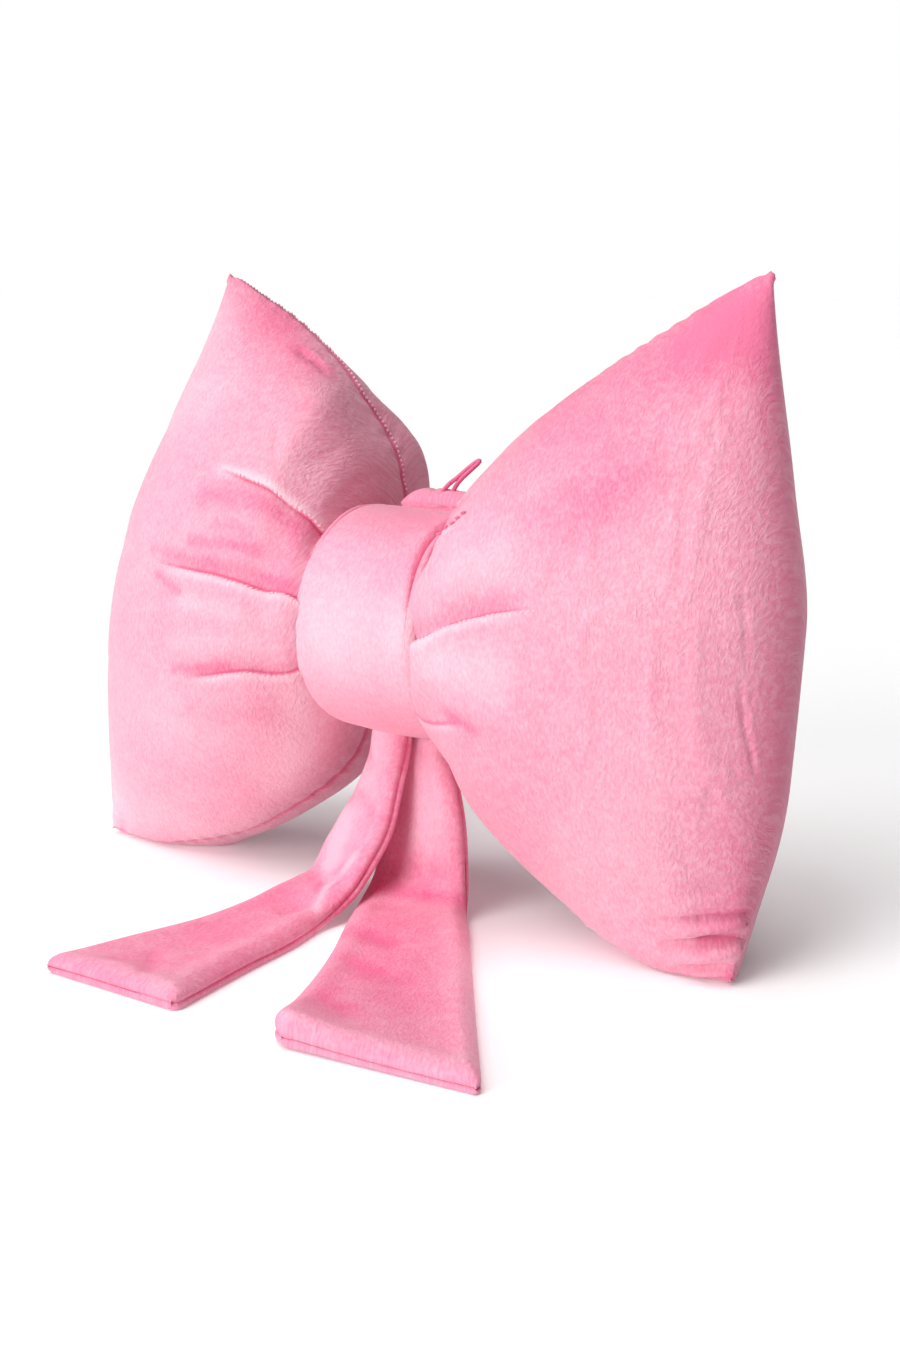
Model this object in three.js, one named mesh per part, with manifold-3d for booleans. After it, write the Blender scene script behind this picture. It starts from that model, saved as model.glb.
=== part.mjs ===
// Bow cushion: two filled wings, a padded knot band round the middle, two flat sewn ties that
// hang from the knot and lie forward on the floor, and a small hanging loop behind the knot.
// Millimetres, +X along the width, +Z up, the front faces -Y. The cushion stands on the lower
// outer corners of its wings and leans back a little; the floor is the plane z = 0.

import * as THREE from "three";
import { mergeVertices } from "three/addons/utils/BufferGeometryUtils.js";
import Module from "manifold-3d";

const wasm = await Module();
wasm.setup();

// Driving dimensions

const LEAN = THREE.MathUtils.degToRad(11); // the cushion's own plane leans back from upright
const FIT = 0.3; // air between pieces that touch

const KNOT_LEFT = -42; // side faces of the knot band
const KNOT_RIGHT = 35;
const KNOT_Y = 31.2; // middle of the band, which lies on the leaning plane
const KNOT_Z = 163;
const KNOT_DEEP = 63; // half sizes of the band: front to back, and up
const KNOT_TALL = 65.5;
const KNOT_CROWN = 2.5; // how much fuller the band is at mid width than at its edges

const LAP_PROUD = 9.5; // the band's end lies over its start behind the knot, rolled in on top
const LAP_FOOT = 5; // and is flatter at its foot
const LAP_LEFT = -23; // side edges of the lapped end
const LAP_RIGHT = 27;
const LAP_TOP = 79; // degrees above level, seen from the right, where the end begins
const LAP_BOTTOM = -48;

const NECK_SIZE = 59; // half depth of a wing where it meets the knot
const CROWN = 74; // half depth of a wing at its fullest

const TIE_THICK = 11.5; // two layers of plush with a thin wadding
const TIE_EDGE = 6; // how blunt the long edges of a tie are
const TIE_END = 60; // how late a tie closes to the seam of its cut end

const ROUND_FOLD = 3; // how blunt a wing's outer fold is, and how much blunter under the belly
const ROUND_UNDER = 3;
const TUCK_START = 0.4; // share of a tuck's depth right at its start
const TUCK_RUN = 0.05; // reach over which it gets to its full depth

const REACH_STEPS = 24; // steps from the knot to a wing's outer fold
const BAND_STEPS = 10; // steps across the knot band, and round it
const BAND_SIDES = 40;
const LAP_STEPS = 16;
const LAP_SIDES = 10;
const TIE_STEPS = 24;
const TIE_SIDES = 7; // steps across one face of a tie
const LOOP_SIDES = 10;

// Shared run of a wing's section from the knot (reach 0) to the outer fold (reach 1):
// depth is the half thickness, front and under say how sharply the section closes at the seam,
// and upper and lower say how far the back panel bulges past the seams.
const SECTIONS = [
  { reach: 0.0, depth: NECK_SIZE, front: 1.0, under: 1.0, upper: 0.2, lower: 0.1 },
  { reach: 0.04, depth: 66, front: 1.0, under: 1.0, upper: 0.36, lower: 0.16 },
  { reach: 0.1, depth: 69, front: 1.05, under: 1.0, upper: 0.28, lower: 0.2 },
  { reach: 0.2, depth: 72, front: 1.15, under: 0.95, upper: 0.1, lower: 0.16 },
  { reach: 0.4, depth: CROWN, front: 1.35, under: 0.8, upper: 0.0, lower: 0.12 },
  { reach: 0.6, depth: CROWN, front: 1.5, under: 0.66, upper: 0.0, lower: 0.26 },
  { reach: 0.8, depth: CROWN, front: 1.5, under: 0.62, upper: 0.0, lower: 0.4 },
  { reach: 1.0, depth: CROWN, front: 1.5, under: 0.6, upper: 0.0, lower: 0.4 },
];

// Each wing: seams gives the heights of the lower and upper seams up the leaning plane and how
// far they sit behind it; fold gives how far out the outer edge lies, from its lower tip
// (rise -1) to its upper tip (rise 1); tucks are the sewn creases of the front panel.
// A tuck runs from the angle start, at the reach from, to the angle end, at the reach to.
const WINGS = {
  wing_left: {
    side: -1,
    rim: -KNOT_LEFT + FIT,
    colour: 0xf2a3c0,
    seams: [
      { reach: 0.0, low: 104, high: 227, lowBack: 22, highBack: 34 },
      { reach: 0.04, low: 78, high: 259, lowBack: 17, highBack: 25 },
      { reach: 0.1, low: 62, high: 276, lowBack: 12, highBack: 19 },
      { reach: 0.2, low: 45, high: 299, lowBack: 7, highBack: 4 },
      { reach: 0.4, low: 21, high: 322, lowBack: 3, highBack: 2 },
      { reach: 0.6, low: 8, high: 339, lowBack: 0, highBack: 1 },
      { reach: 0.8, low: 1, high: 352, lowBack: 0, highBack: 0 },
      { reach: 1.0, low: 3, high: 365, lowBack: 0, highBack: 0 },
    ],
    fold: [
      { rise: -1.0, out: 227 },
      { rise: -0.8, out: 229 },
      { rise: -0.3, out: 230 },
      { rise: 0.1, out: 220.5 },
      { rise: 0.5, out: 196 },
      { rise: 0.8, out: 179.5 },
      { rise: 1.0, out: 173 },
    ],
    tucks: [
      { start: -27, end: -21, from: 0, to: 0.45, deep: 5 },
      { start: 2, end: 4, from: 0, to: 0.66, deep: 6.5 },
      { start: 33, end: 22, from: 0, to: 0.45, deep: 5 },
    ],
    spans: [11, 6, 6, 11],
  },
  wing_right: {
    side: 1,
    rim: KNOT_RIGHT + FIT,
    colour: 0xf2a3c0,
    seams: [
      { reach: 0.0, low: 104, high: 227, lowBack: 22, highBack: 22 },
      { reach: 0.04, low: 78, high: 257, lowBack: 17, highBack: 17 },
      { reach: 0.1, low: 64, high: 270, lowBack: 12, highBack: 13 },
      { reach: 0.2, low: 49, high: 286, lowBack: 7, highBack: 10 },
      { reach: 0.4, low: 27, high: 311, lowBack: 3, highBack: 5 },
      { reach: 0.6, low: 9, high: 330.5, lowBack: 0, highBack: 1 },
      { reach: 0.8, low: 0, high: 350.5, lowBack: 0, highBack: 0 },
      { reach: 1.0, low: 3.5, high: 368, lowBack: 0, highBack: 0 },
    ],
    fold: [
      { rise: -1.0, out: 219 },
      { rise: -0.8, out: 223 },
      { rise: -0.4, out: 233 },
      { rise: 0.0, out: 232 },
      { rise: 0.4, out: 217 },
      { rise: 0.8, out: 200 },
      { rise: 1.0, out: 193 },
    ],
    tucks: [
      { start: -60, end: -60, from: 1, to: 0.72, deep: 3.5 },
      { start: -38, end: -24, from: 0, to: 0.32, deep: 4 },
      { start: -3, end: 6, from: 0, to: 0.48, deep: 6.5 },
      { start: 40, end: 34, from: 0, to: 0.12, deep: 4 },
    ],
    spans: [5, 5, 8, 7, 9],
  },
};

// Each tie as rows from the knot to its cut end: the left and right edge of the cloth, seen
// from the front. The first row lies inside the knot, where the tie is trimmed to its seat.
const TIES = {
  tail_left: {
    colour: 0xee88ae,
    rows: [
      { left: [-22, 19, 112], right: [1, 15, 112] },
      { left: [-23, 17, 92], right: [3, 9, 92] },
      { left: [-25, 14, 74], right: [9, -5, 74] },
      { left: [-33, 7, 53], right: [11, -18, 50] },
      { left: [-43, 1, 31], right: [8, -28, 35] },
      { left: [-49, -8, 13], right: [1, -38, 18] },
      { left: [-56, -40, 6], right: [-3, -58, 7] },
      { left: [-54, -74, 5.5], right: [1, -87, 5.5] },
      { left: [-65, -131, 5.5], right: [3, -130, 5.5] },
      { left: [-86, -188, 5.5], right: [8, -187, 5.5] },
    ],
  },
  tail_right: {
    colour: 0xec7fa8,
    rows: [
      { left: [1, 29, 112], right: [23, 29, 112] },
      { left: [-1, 26, 92], right: [25, 25, 92] },
      { left: [-4, 17, 75], right: [35, 16, 75] },
      { left: [-7, 10, 55], right: [44, 9, 55] },
      { left: [-9, 5, 35], right: [48, 6, 35] },
      { left: [-9, -3, 16], right: [51, 3, 18] },
      { left: [-4, -22, 7], right: [55, -2, 7] },
      { left: [11, -55, 5.5], right: [72, -24, 5.5] },
      { left: [33, -96, 5.5], right: [100, -62, 5.5] },
      { left: [55, -147, 6], right: [141, -118, 5.5] },
      { left: [71, -190, 7], right: [184, -176, 5.5] },
    ],
  },
};

// The hanging loop from its seat on the lapped end to its tip, with its width and thickness.
const LOOP_ROWS = [
  { at: [1, 50, 222], wide: 5, thick: 4.2 },
  { at: [2, 50, 232], wide: 5, thick: 4.2 },
  { at: [6, 51.2, 237.8], wide: 5.2, thick: 3.8 },
  { at: [11.5, 53.5, 243], wide: 5.6, thick: 3.6 },
  { at: [17, 56, 248.4], wide: 5.6, thick: 3.6 },
  { at: [20.5, 57.5, 251.7], wide: 4.6, thick: 3.4 },
  { at: [22, 58, 253], wide: 2.2, thick: 2 },
];
const LOOP_COLOUR = 0xe0608f;
const KNOT_COLOUR = 0xf4a9c5;

// A smooth curve through one column of a table, without overshoot between the rows.
function curve(rows, across, column) {
  const x = rows.map((row) => row[across]);
  const y = rows.map((row) => row[column]);
  const slope = [];
  for (let i = 0; i + 1 < x.length; i += 1) {
    slope.push((y[i + 1] - y[i]) / (x[i + 1] - x[i]));
  }
  const tangent = x.map((value, i) => {
    if (i === 0) return slope[0];
    if (i === x.length - 1) return slope[i - 1];
    if (slope[i - 1] * slope[i] <= 0) return 0;
    return (2 * slope[i - 1] * slope[i]) / (slope[i - 1] + slope[i]);
  });
  return (at) => {
    let i = 0;
    while (i + 2 < x.length && at > x[i + 1]) i += 1;
    const width = x[i + 1] - x[i];
    const t = (at - x[i]) / width;
    const ease = t * t * (3 - 2 * t);
    const bend = t * (1 - t) * (1 - t) * tangent[i] - t * t * (1 - t) * tangent[i + 1];
    return y[i] + (y[i + 1] - y[i]) * ease + width * bend;
  };
}

// The closed body over a row of rings, each with the same number of points. A ring that is
// drawn together to a line or a point closes the body by itself; the other ends get a flat face.
function loft(rings, flatStart, flatEnd) {
  const around = rings[0].length;
  const points = rings.flat();
  const faces = [];
  for (let i = 0; i + 1 < rings.length; i += 1) {
    for (let j = 0; j < around; j += 1) {
      const a = i * around + j;
      const b = i * around + ((j + 1) % around);
      faces.push(a, b, b + around, a, b + around, a + around);
    }
  }
  const close = (ring, first, forward) => {
    const middle = new THREE.Vector3();
    ring.forEach((point) => middle.add(point));
    points.push(middle.divideScalar(around));
    for (let j = 0; j < around; j += 1) {
      const a = first + j;
      const b = first + ((j + 1) % around);
      if (forward) faces.push(points.length - 1, a, b);
      else faces.push(points.length - 1, b, a);
    }
  };
  if (flatStart) close(rings[0], 0, false);
  if (flatEnd) close(rings[rings.length - 1], (rings.length - 1) * around, true);
  const geometry = new THREE.BufferGeometry().setFromPoints(points);
  geometry.setIndex(faces);
  const merged = mergeVertices(geometry, 1e-4);
  return facingOut(withoutEmptyFaces(merged));
}

function withoutEmptyFaces(geometry) {
  const index = geometry.index.array;
  const kept = [];
  for (let i = 0; i < index.length; i += 3) {
    const [a, b, c] = [index[i], index[i + 1], index[i + 2]];
    if (a !== b && b !== c && a !== c) kept.push(a, b, c);
  }
  geometry.setIndex(kept);
  return geometry;
}

function facingOut(geometry) {
  const place = geometry.attributes.position;
  const index = geometry.index.array;
  const corner = (i) => new THREE.Vector3().fromBufferAttribute(place, index[i]);
  let volume = 0;
  for (let i = 0; i < index.length; i += 3) {
    volume += corner(i).dot(corner(i + 1).cross(corner(i + 2)));
  }
  if (volume < 0) geometry.setIndex(Array.from(index).reverse());
  return geometry;
}

function toSolid(geometry) {
  const bare = geometry.clone();
  bare.deleteAttribute("normal");
  bare.deleteAttribute("uv");
  const merged = mergeVertices(bare, 1e-4);
  return new wasm.Manifold(
    new wasm.Mesh({
      numProp: 3,
      vertProperties: merged.attributes.position.array,
      triVerts: new Uint32Array(merged.index.array),
    }),
  );
}

function toGeometry(solid) {
  const mesh = solid.getMesh();
  const geometry = new THREE.BufferGeometry();
  geometry.setAttribute("position", new THREE.BufferAttribute(mesh.vertProperties, 3));
  geometry.setIndex(Array.from(mesh.triVerts));
  return geometry;
}

// What lies under the floor, taken off so that a piece rests flat.
function floorBlock() {
  const size = 1200;
  const deep = 100;
  const block = new THREE.BoxGeometry(size, size, deep);
  block.translate(0, 0, -deep / 2);
  return toSolid(block);
}

// A point of the cushion: out along the width, up the leaning plane, and behind it.
function leaning(out, up, behind) {
  const y = up * Math.sin(LEAN) + behind * Math.cos(LEAN);
  const z = up * Math.cos(LEAN) - behind * Math.sin(LEAN);
  return new THREE.Vector3(out, y, z);
}

// The angles of a front panel's rows at one reach, from the lower seam (-90) to the upper
// seam (90). A row follows each tuck, and the spans between them are divided evenly.
function rowAngles(wing, reach) {
  const marks = [-90];
  for (const tuck of wing.tucks) {
    const along = THREE.MathUtils.clamp((reach - tuck.from) / (tuck.to - tuck.from), 0, 1);
    marks.push(tuck.start + (tuck.end - tuck.start) * along);
  }
  marks.push(90);
  const angles = [];
  wing.spans.forEach((count, i) => {
    for (let k = 0; k < count; k += 1) {
      angles.push(marks[i] + ((marks[i + 1] - marks[i]) * k) / count);
    }
  });
  angles.push(90);
  return angles;
}

// How deep the front panel is drawn in on each row at one reach.
function tuckDepths(wing, reach) {
  const depths = rowAngles(wing, reach).map(() => 0);
  let row = 0;
  wing.tucks.forEach((tuck, i) => {
    row += wing.spans[i];
    const along = (reach - tuck.from) / (tuck.to - tuck.from);
    const begun = Math.min(Math.abs(reach - tuck.from) / TUCK_RUN, 1);
    const share = TUCK_START + (1 - TUCK_START) * begun;
    if (along <= 1) depths[row] = tuck.deep * share * Math.sqrt(1 - along);
  });
  return depths;
}

function wingGeometry(wing) {
  const run = (rows, column) => curve(rows, "reach", column);
  const low = run(wing.seams, "low");
  const high = run(wing.seams, "high");
  const lowBack = run(wing.seams, "lowBack");
  const highBack = run(wing.seams, "highBack");
  const fold = curve(wing.fold, "rise", "out");
  const depth = run(SECTIONS, "depth");
  const front = run(SECTIONS, "front");
  const under = run(SECTIONS, "under");
  const upper = run(SECTIONS, "upper");
  const lower = run(SECTIONS, "lower");

  const point = (reach, degrees, isBack, drawn) => {
    const angle = THREE.MathUtils.degToRad(degrees);
    const rise = Math.sin(angle);
    const open = Math.max(Math.cos(angle), 0);
    const middle = (low(reach) + high(reach)) / 2;
    const half = (high(reach) - low(reach)) / 2;
    const seamBack = rise > 0 ? highBack(reach) * rise * rise : lowBack(reach) * rise * rise;
    const blunt = isBack && rise < 0 ? ROUND_FOLD - ROUND_UNDER * rise : ROUND_FOLD;
    const roundEnd = Math.sqrt(Math.max(1 - reach ** blunt, 0));
    const sharp = isBack && rise < 0 ? under(reach) : front(reach);
    const bulge = isBack ? (rise < 0 ? lower(reach) : upper(reach)) * roundEnd : 0;
    const tucked = drawn * open * Math.min(2 * roundEnd, 1);
    const thick = depth(reach) * roundEnd * open ** sharp - tucked;
    const out = wing.rim + (fold(rise) - wing.rim) * reach;
    const up = middle + half * rise * (1 + bulge * open);
    return leaning(wing.side * out, up, seamBack + (isBack ? thick : -thick));
  };

  const rings = [];
  for (let i = 0; i <= REACH_STEPS; i += 1) {
    const reach = (1 - Math.cos((Math.PI * i) / REACH_STEPS)) / 2;
    const angles = rowAngles(wing, reach);
    const drawn = tuckDepths(wing, reach);
    const ring = angles.map((angle, k) => point(reach, angle, false, drawn[k]));
    for (let k = angles.length - 2; k > 0; k -= 1) {
      ring.push(point(reach, angles[k], true, 0));
    }
    rings.push(ring);
  }
  const body = toSolid(loft(rings, true, false));
  return toGeometry(body.subtract(floorBlock()));
}

// The knot: a padded band, fuller at mid width, and its lapped end behind.
function knotSolid(grow) {
  const left = KNOT_LEFT - grow;
  const right = KNOT_RIGHT + grow;
  const rings = [];
  for (let i = 0; i <= BAND_STEPS; i += 1) {
    const share = i / BAND_STEPS;
    const crown = KNOT_CROWN * Math.sin(Math.PI * share) + grow;
    const ring = [];
    for (let j = 0; j < BAND_SIDES; j += 1) {
      const angle = (2 * Math.PI * j) / BAND_SIDES;
      const y = KNOT_Y + (KNOT_DEEP + crown) * Math.cos(angle);
      const z = KNOT_Z + (KNOT_TALL + crown) * Math.sin(angle);
      ring.push(new THREE.Vector3(left + (right - left) * share, y, z));
    }
    rings.push(ring);
  }
  return toSolid(loft(rings, true, true)).add(lapSolid(grow));
}

// The lapped end of the band: an arc of cloth behind the knot, blunt at its ends and edges.
function lapSolid(grow) {
  const bluntEnd = 12;
  const bluntEdge = 0.4;
  const half = (LAP_RIGHT - LAP_LEFT) / 2;
  const middle = (LAP_RIGHT + LAP_LEFT) / 2;
  const rings = [];
  for (let i = 0; i <= LAP_STEPS; i += 1) {
    const share = i / LAP_STEPS;
    const angle = THREE.MathUtils.degToRad(LAP_TOP + (LAP_BOTTOM - LAP_TOP) * share);
    const end = Math.sqrt(1 - (2 * share - 1) ** bluntEnd);
    const thick = LAP_PROUD + (LAP_FOOT - LAP_PROUD) * share + KNOT_CROWN;
    const ring = [];
    for (let j = 0; j < LAP_SIDES; j += 1) {
      const turn = (2 * Math.PI * (j + 0.5)) / LAP_SIDES;
      const across = Math.sign(Math.cos(turn)) * Math.abs(Math.cos(turn)) ** bluntEdge;
      const out = (thick * end + grow) * Math.sin(turn);
      const y = KNOT_Y + (KNOT_DEEP + out) * Math.cos(angle);
      const z = KNOT_Z + (KNOT_TALL + out) * Math.sin(angle);
      ring.push(new THREE.Vector3(middle + (half + grow) * across, y, z));
    }
    rings.push(ring);
  }
  return toSolid(loft(rings, true, true));
}

// A tie: two layers sewn along their edges, turned and lightly padded, with a cut end that
// closes to a seam. It is trimmed to the knot above and to the floor below.
function tieGeometry(rows) {
  const edges = rows.map(({ left, right }) => ({
    left: new THREE.Vector3(...left),
    right: new THREE.Vector3(...right),
  }));
  const leftEdge = new THREE.CatmullRomCurve3(edges.map((row) => row.left));
  const rightEdge = new THREE.CatmullRomCurve3(edges.map((row) => row.right));
  const middleAt = (share) =>
    leftEdge.getPoint(share).add(rightEdge.getPoint(share)).multiplyScalar(0.5);
  const step = 0.01;
  const rings = [];
  for (let i = 0; i <= TIE_STEPS; i += 1) {
    const share = Math.sin((Math.PI / 2) * (i / TIE_STEPS));
    const left = leftEdge.getPoint(share);
    const across = rightEdge.getPoint(share).sub(left);
    const before = middleAt(Math.max(share - step, 0));
    const after = middleAt(Math.min(share + step, 1));
    const face = across.clone().cross(after.sub(before)).normalize();
    const half = (TIE_THICK / 2) * Math.sqrt(1 - share ** TIE_END);
    const ring = [];
    for (let k = 0; k < 2 * TIE_SIDES; k += 1) {
      const turn = Math.PI * (k / TIE_SIDES);
      const over = Math.cos(turn);
      const thick = Math.sqrt(Math.max(1 - Math.abs(over) ** TIE_EDGE, 0));
      const side = k < TIE_SIDES ? half : -half;
      const point = left.clone().addScaledVector(across, (1 - over) / 2);
      ring.push(point.addScaledVector(face, side * thick));
    }
    rings.push(ring);
  }
  const body = toSolid(loft(rings, true, false));
  return toGeometry(body.subtract(knotSolid(FIT)).subtract(floorBlock()));
}

// The hanging loop: a narrow strip folded on itself, so that its two strands lie together.
function loopGeometry() {
  const line = new THREE.CatmullRomCurve3(LOOP_ROWS.map((row) => new THREE.Vector3(...row.at)));
  const sideways = new THREE.Vector3(0, 1, 0);
  const rings = LOOP_ROWS.map((row, i) => {
    const share = i / (LOOP_ROWS.length - 1);
    const across = sideways.clone().cross(line.getTangent(share)).normalize();
    const ring = [];
    for (let j = 0; j < LOOP_SIDES; j += 1) {
      const turn = (2 * Math.PI * j) / LOOP_SIDES;
      ring.push(
        line
          .getPoint(share)
          .addScaledVector(across, (row.wide / 2) * Math.cos(turn))
          .addScaledVector(sideways, (row.thick / 2) * Math.sin(turn)),
      );
    }
    return ring;
  });
  return toGeometry(toSolid(loft(rings, true, true)).subtract(knotSolid(FIT)));
}

function plush(colour) {
  return new THREE.MeshStandardMaterial({ color: colour, roughness: 0.9, metalness: 0 });
}

function piece(name, geometry, colour) {
  const mesh = new THREE.Mesh(geometry, plush(colour));
  mesh.name = name;
  return mesh;
}

const cushion = new THREE.Group();
for (const [name, wing] of Object.entries(WINGS)) {
  cushion.add(piece(name, wingGeometry(wing), wing.colour));
}
cushion.add(piece("knot", toGeometry(knotSolid(0)), KNOT_COLOUR));
for (const [name, tie] of Object.entries(TIES)) {
  cushion.add(piece(name, tieGeometry(tie.rows), tie.colour));
}
cushion.add(piece("hang_loop", loopGeometry(), LOOP_COLOUR));

// The origin is the middle of the cushion's box, on the floor.
const box = new THREE.Box3().setFromObject(cushion);
const centre = box.getCenter(new THREE.Vector3());
cushion.position.set(-centre.x, -centre.y, 0);

export default cushion;
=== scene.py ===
# %% [markdown]
# # A plush bow cushion
#
# The real object is a bow sewn from short plush: two filled wings, a padded band that draws them
# together in the middle, two flat ties that fall from the band, and a small hanging loop behind.
# The solids of the part are loaded first as a fixed frame. Each soft piece below is modelled in
# the space that its solid holds, so the cushion keeps its real size.

# %% Load the fixed frame
import math

import bmesh
import bpy
import numpy as np
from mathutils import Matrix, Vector


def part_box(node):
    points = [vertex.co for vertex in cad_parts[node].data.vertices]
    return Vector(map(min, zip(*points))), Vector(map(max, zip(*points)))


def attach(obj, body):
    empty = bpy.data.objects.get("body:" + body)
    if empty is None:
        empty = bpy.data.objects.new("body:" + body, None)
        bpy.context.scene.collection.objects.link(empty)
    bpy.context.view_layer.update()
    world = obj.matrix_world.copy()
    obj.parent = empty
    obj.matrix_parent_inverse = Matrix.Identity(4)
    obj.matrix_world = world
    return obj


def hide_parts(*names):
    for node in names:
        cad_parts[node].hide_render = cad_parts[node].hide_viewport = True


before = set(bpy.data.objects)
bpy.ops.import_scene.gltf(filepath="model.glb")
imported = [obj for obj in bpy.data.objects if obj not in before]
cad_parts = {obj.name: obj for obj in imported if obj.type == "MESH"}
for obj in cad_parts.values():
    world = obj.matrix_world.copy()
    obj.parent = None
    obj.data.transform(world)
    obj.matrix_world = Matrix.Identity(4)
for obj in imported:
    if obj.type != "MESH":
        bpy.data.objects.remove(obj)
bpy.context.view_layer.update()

# %% [markdown]
# The tables of this lesson are written in millimetres, in the cushion's own frame: x runs along
# the width with zero near the knot, and the cushion's plane leans back from the line y = 0, z = 0.
# The part's frame has its origin under the middle of the whole box instead. The knot shows how
# far the two frames lie apart, and one function turns points into metres in the part's frame.

# %% Millimetres to metres, and into the part's frame
MM = 0.001
LEAN = math.radians(11)
KNOT_LEFT, KNOT_RIGHT = -42.0, 35.0
KNOT_Y, KNOT_Z = 31.2, 163.0
KNOT_DEEP, KNOT_TALL = 63.0, 65.5
KNOT_CROWN = 2.5

knot_low, knot_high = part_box("knot")
SHIFT = np.array([
    (knot_low.x + knot_high.x) / 2 / MM - (KNOT_LEFT + KNOT_RIGHT) / 2,
    knot_low.y / MM - (KNOT_Y - KNOT_DEEP - KNOT_CROWN),
    0.0,
])
print("frame shift in mm:", SHIFT.round(2))


def metres(points):
    return (np.asarray(points, float) + SHIFT) * MM


# %% [markdown]
# ## Camera
#
# The photo looks at the bow from its right front, a little from above. The angle, the distance
# and the lens were fitted until the bow's outline lay on the photo's. The camera aims at a point
# inside the bow, and nothing is shifted, so every other view can reuse it.

# %% Camera
def direction(azimuth, height):
    """The direction to this azimuth, counted from the front to the right, and this height."""
    return Vector((
        math.sin(azimuth) * math.cos(height),
        -math.cos(azimuth) * math.cos(height),
        math.sin(height),
    ))


VIEW_AZIMUTH = math.radians(35.2)
VIEW_HEIGHT = math.radians(13.0)
VIEW_DISTANCE = 0.9912
VIEW_TARGET = Vector(metres([42.44, 0.0, 141.6]))
LENS, SENSOR_WIDTH = 48, 36

camera_data = bpy.data.cameras.new("camera")
camera_data.lens = LENS
camera_data.sensor_width = SENSOR_WIDTH
camera = bpy.data.objects.new("camera", camera_data)
bpy.context.scene.collection.objects.link(camera)
toward = direction(VIEW_AZIMUTH, VIEW_HEIGHT)
camera.location = VIEW_TARGET + toward * VIEW_DISTANCE
camera.rotation_euler = toward.to_track_quat("Z", "Y").to_euler()
bpy.context.scene.camera = camera
print("camera at", [round(v, 3) for v in camera.location])

# %% [markdown]
# ## Floor and light
#
# The cushion stands on a plain white floor, which glows a little so that it stays white. Four wide
# soft suns, three on the left of the camera and one almost overhead, light the floor evenly to the
# horizon and throw a soft shadow. The room adds no light, but looks pure white to the camera.

# %% Floor
FLOOR_SIZE = 30.0
FLOOR_DROP = 0.0003
FLOOR_WHITE = (0.93, 0.93, 0.93, 1)
FLOOR_ROUGHNESS = 0.9
FLOOR_GLOW = 0.155
WHITE = (1, 1, 1, 1)


def select_none():
    for item in bpy.context.selected_objects:
        item.select_set(False)


select_none()
bpy.ops.mesh.primitive_plane_add(size=FLOOR_SIZE, location=(0, 0, -FLOOR_DROP))
floor = bpy.context.active_object
floor.name = "floor"
floor_paint = bpy.data.materials.new("floor_paint")
floor_paint.use_nodes = True
floor_shader = floor_paint.node_tree.nodes["Principled BSDF"]
floor_shader.inputs["Base Color"].default_value = FLOOR_WHITE
floor_shader.inputs["Roughness"].default_value = FLOOR_ROUGHNESS
floor_shader.inputs["Emission Color"].default_value = WHITE
floor_shader.inputs["Emission Strength"].default_value = FLOOR_GLOW
floor.data.materials.append(floor_paint)
print("floor", floor.dimensions[:2])

# %% Lights
SUN_COLUMNS = ("azimuth", "height", "strength")
SUNS = (
    (-16, 12, 2.1),
    (-75, 20, 0.35),
    (-16, 55, 1.25),
    (0, 85, 1.45),
)
SUN_WIDTH = math.radians(36)
SUN_DISTANCE = 3
ROOM_LIGHT = 0.0

for values in SUNS:
    row = dict(zip(SUN_COLUMNS, values))
    data = bpy.data.lights.new("sun", "SUN")
    data.energy = row["strength"]
    data.angle = SUN_WIDTH
    sun = bpy.data.objects.new("sun", data)
    bpy.context.scene.collection.objects.link(sun)
    place = direction(math.radians(row["azimuth"]), math.radians(row["height"]))
    sun.location = place * SUN_DISTANCE
    sun.rotation_euler = sun.location.to_track_quat("Z", "Y").to_euler()

world = bpy.data.worlds.new("studio")
bpy.context.scene.world = world
world.use_nodes = True
room = world.node_tree.nodes["Background"]
room.inputs["Color"].default_value = WHITE
seen = world.node_tree.nodes.new("ShaderNodeLightPath")
strength = world.node_tree.nodes.new("ShaderNodeMapRange")
strength.inputs["To Min"].default_value = ROOM_LIGHT
strength.inputs["To Max"].default_value = 1.0
world.node_tree.links.new(seen.outputs["Is Camera Ray"], strength.inputs["Value"])
world.node_tree.links.new(strength.outputs["Result"], room.inputs["Strength"])
bpy.context.scene.view_settings.view_transform = "Standard"

# %% [markdown]
# ## Curves through short tables
#
# A maker knows a few sizes of a pattern piece and lets the cloth run smoothly between them. This
# helper does the same: it runs a curve through the rows of a table without swinging past them.

# %% Smooth curve through a table's rows
def run(x, y):
    x, y = np.asarray(x, float), np.asarray(y, float)
    slope = np.diff(y) / np.diff(x)
    tangent = np.zeros(len(x))
    tangent[0], tangent[-1] = slope[0], slope[-1]
    for i in range(1, len(x) - 1):
        before, after = slope[i - 1], slope[i]
        tangent[i] = 2 * before * after / (before + after) if before * after > 0 else 0

    def at(value):
        value = np.asarray(value, float)
        i = np.clip(np.searchsorted(x, value) - 1, 0, len(x) - 2)
        width = x[i + 1] - x[i]
        t = (value - x[i]) / width
        bend = t * (1 - t) ** 2 * tangent[i] - t * t * (1 - t) * tangent[i + 1]
        return y[i] + (y[i + 1] - y[i]) * t * t * (3 - 2 * t) + width * bend

    return at


def smooth_step(value):
    value = np.clip(value, 0, 1)
    return value * value * (3 - 2 * value)


# %% [markdown]
# ## The shape of a wing
#
# A wing is a pouch of two panels, sewn along the top and the bottom. Its outer edge is a rounded
# fold of the cloth. One function gives a point of either panel from its reach, which is 0 at the
# knot and 1 at the outer fold, and its angle, which is -90 degrees at the lower seam and 90 at
# the upper seam. The tables hold the real sizes: half thickness, seam heights and outer edge.

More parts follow.
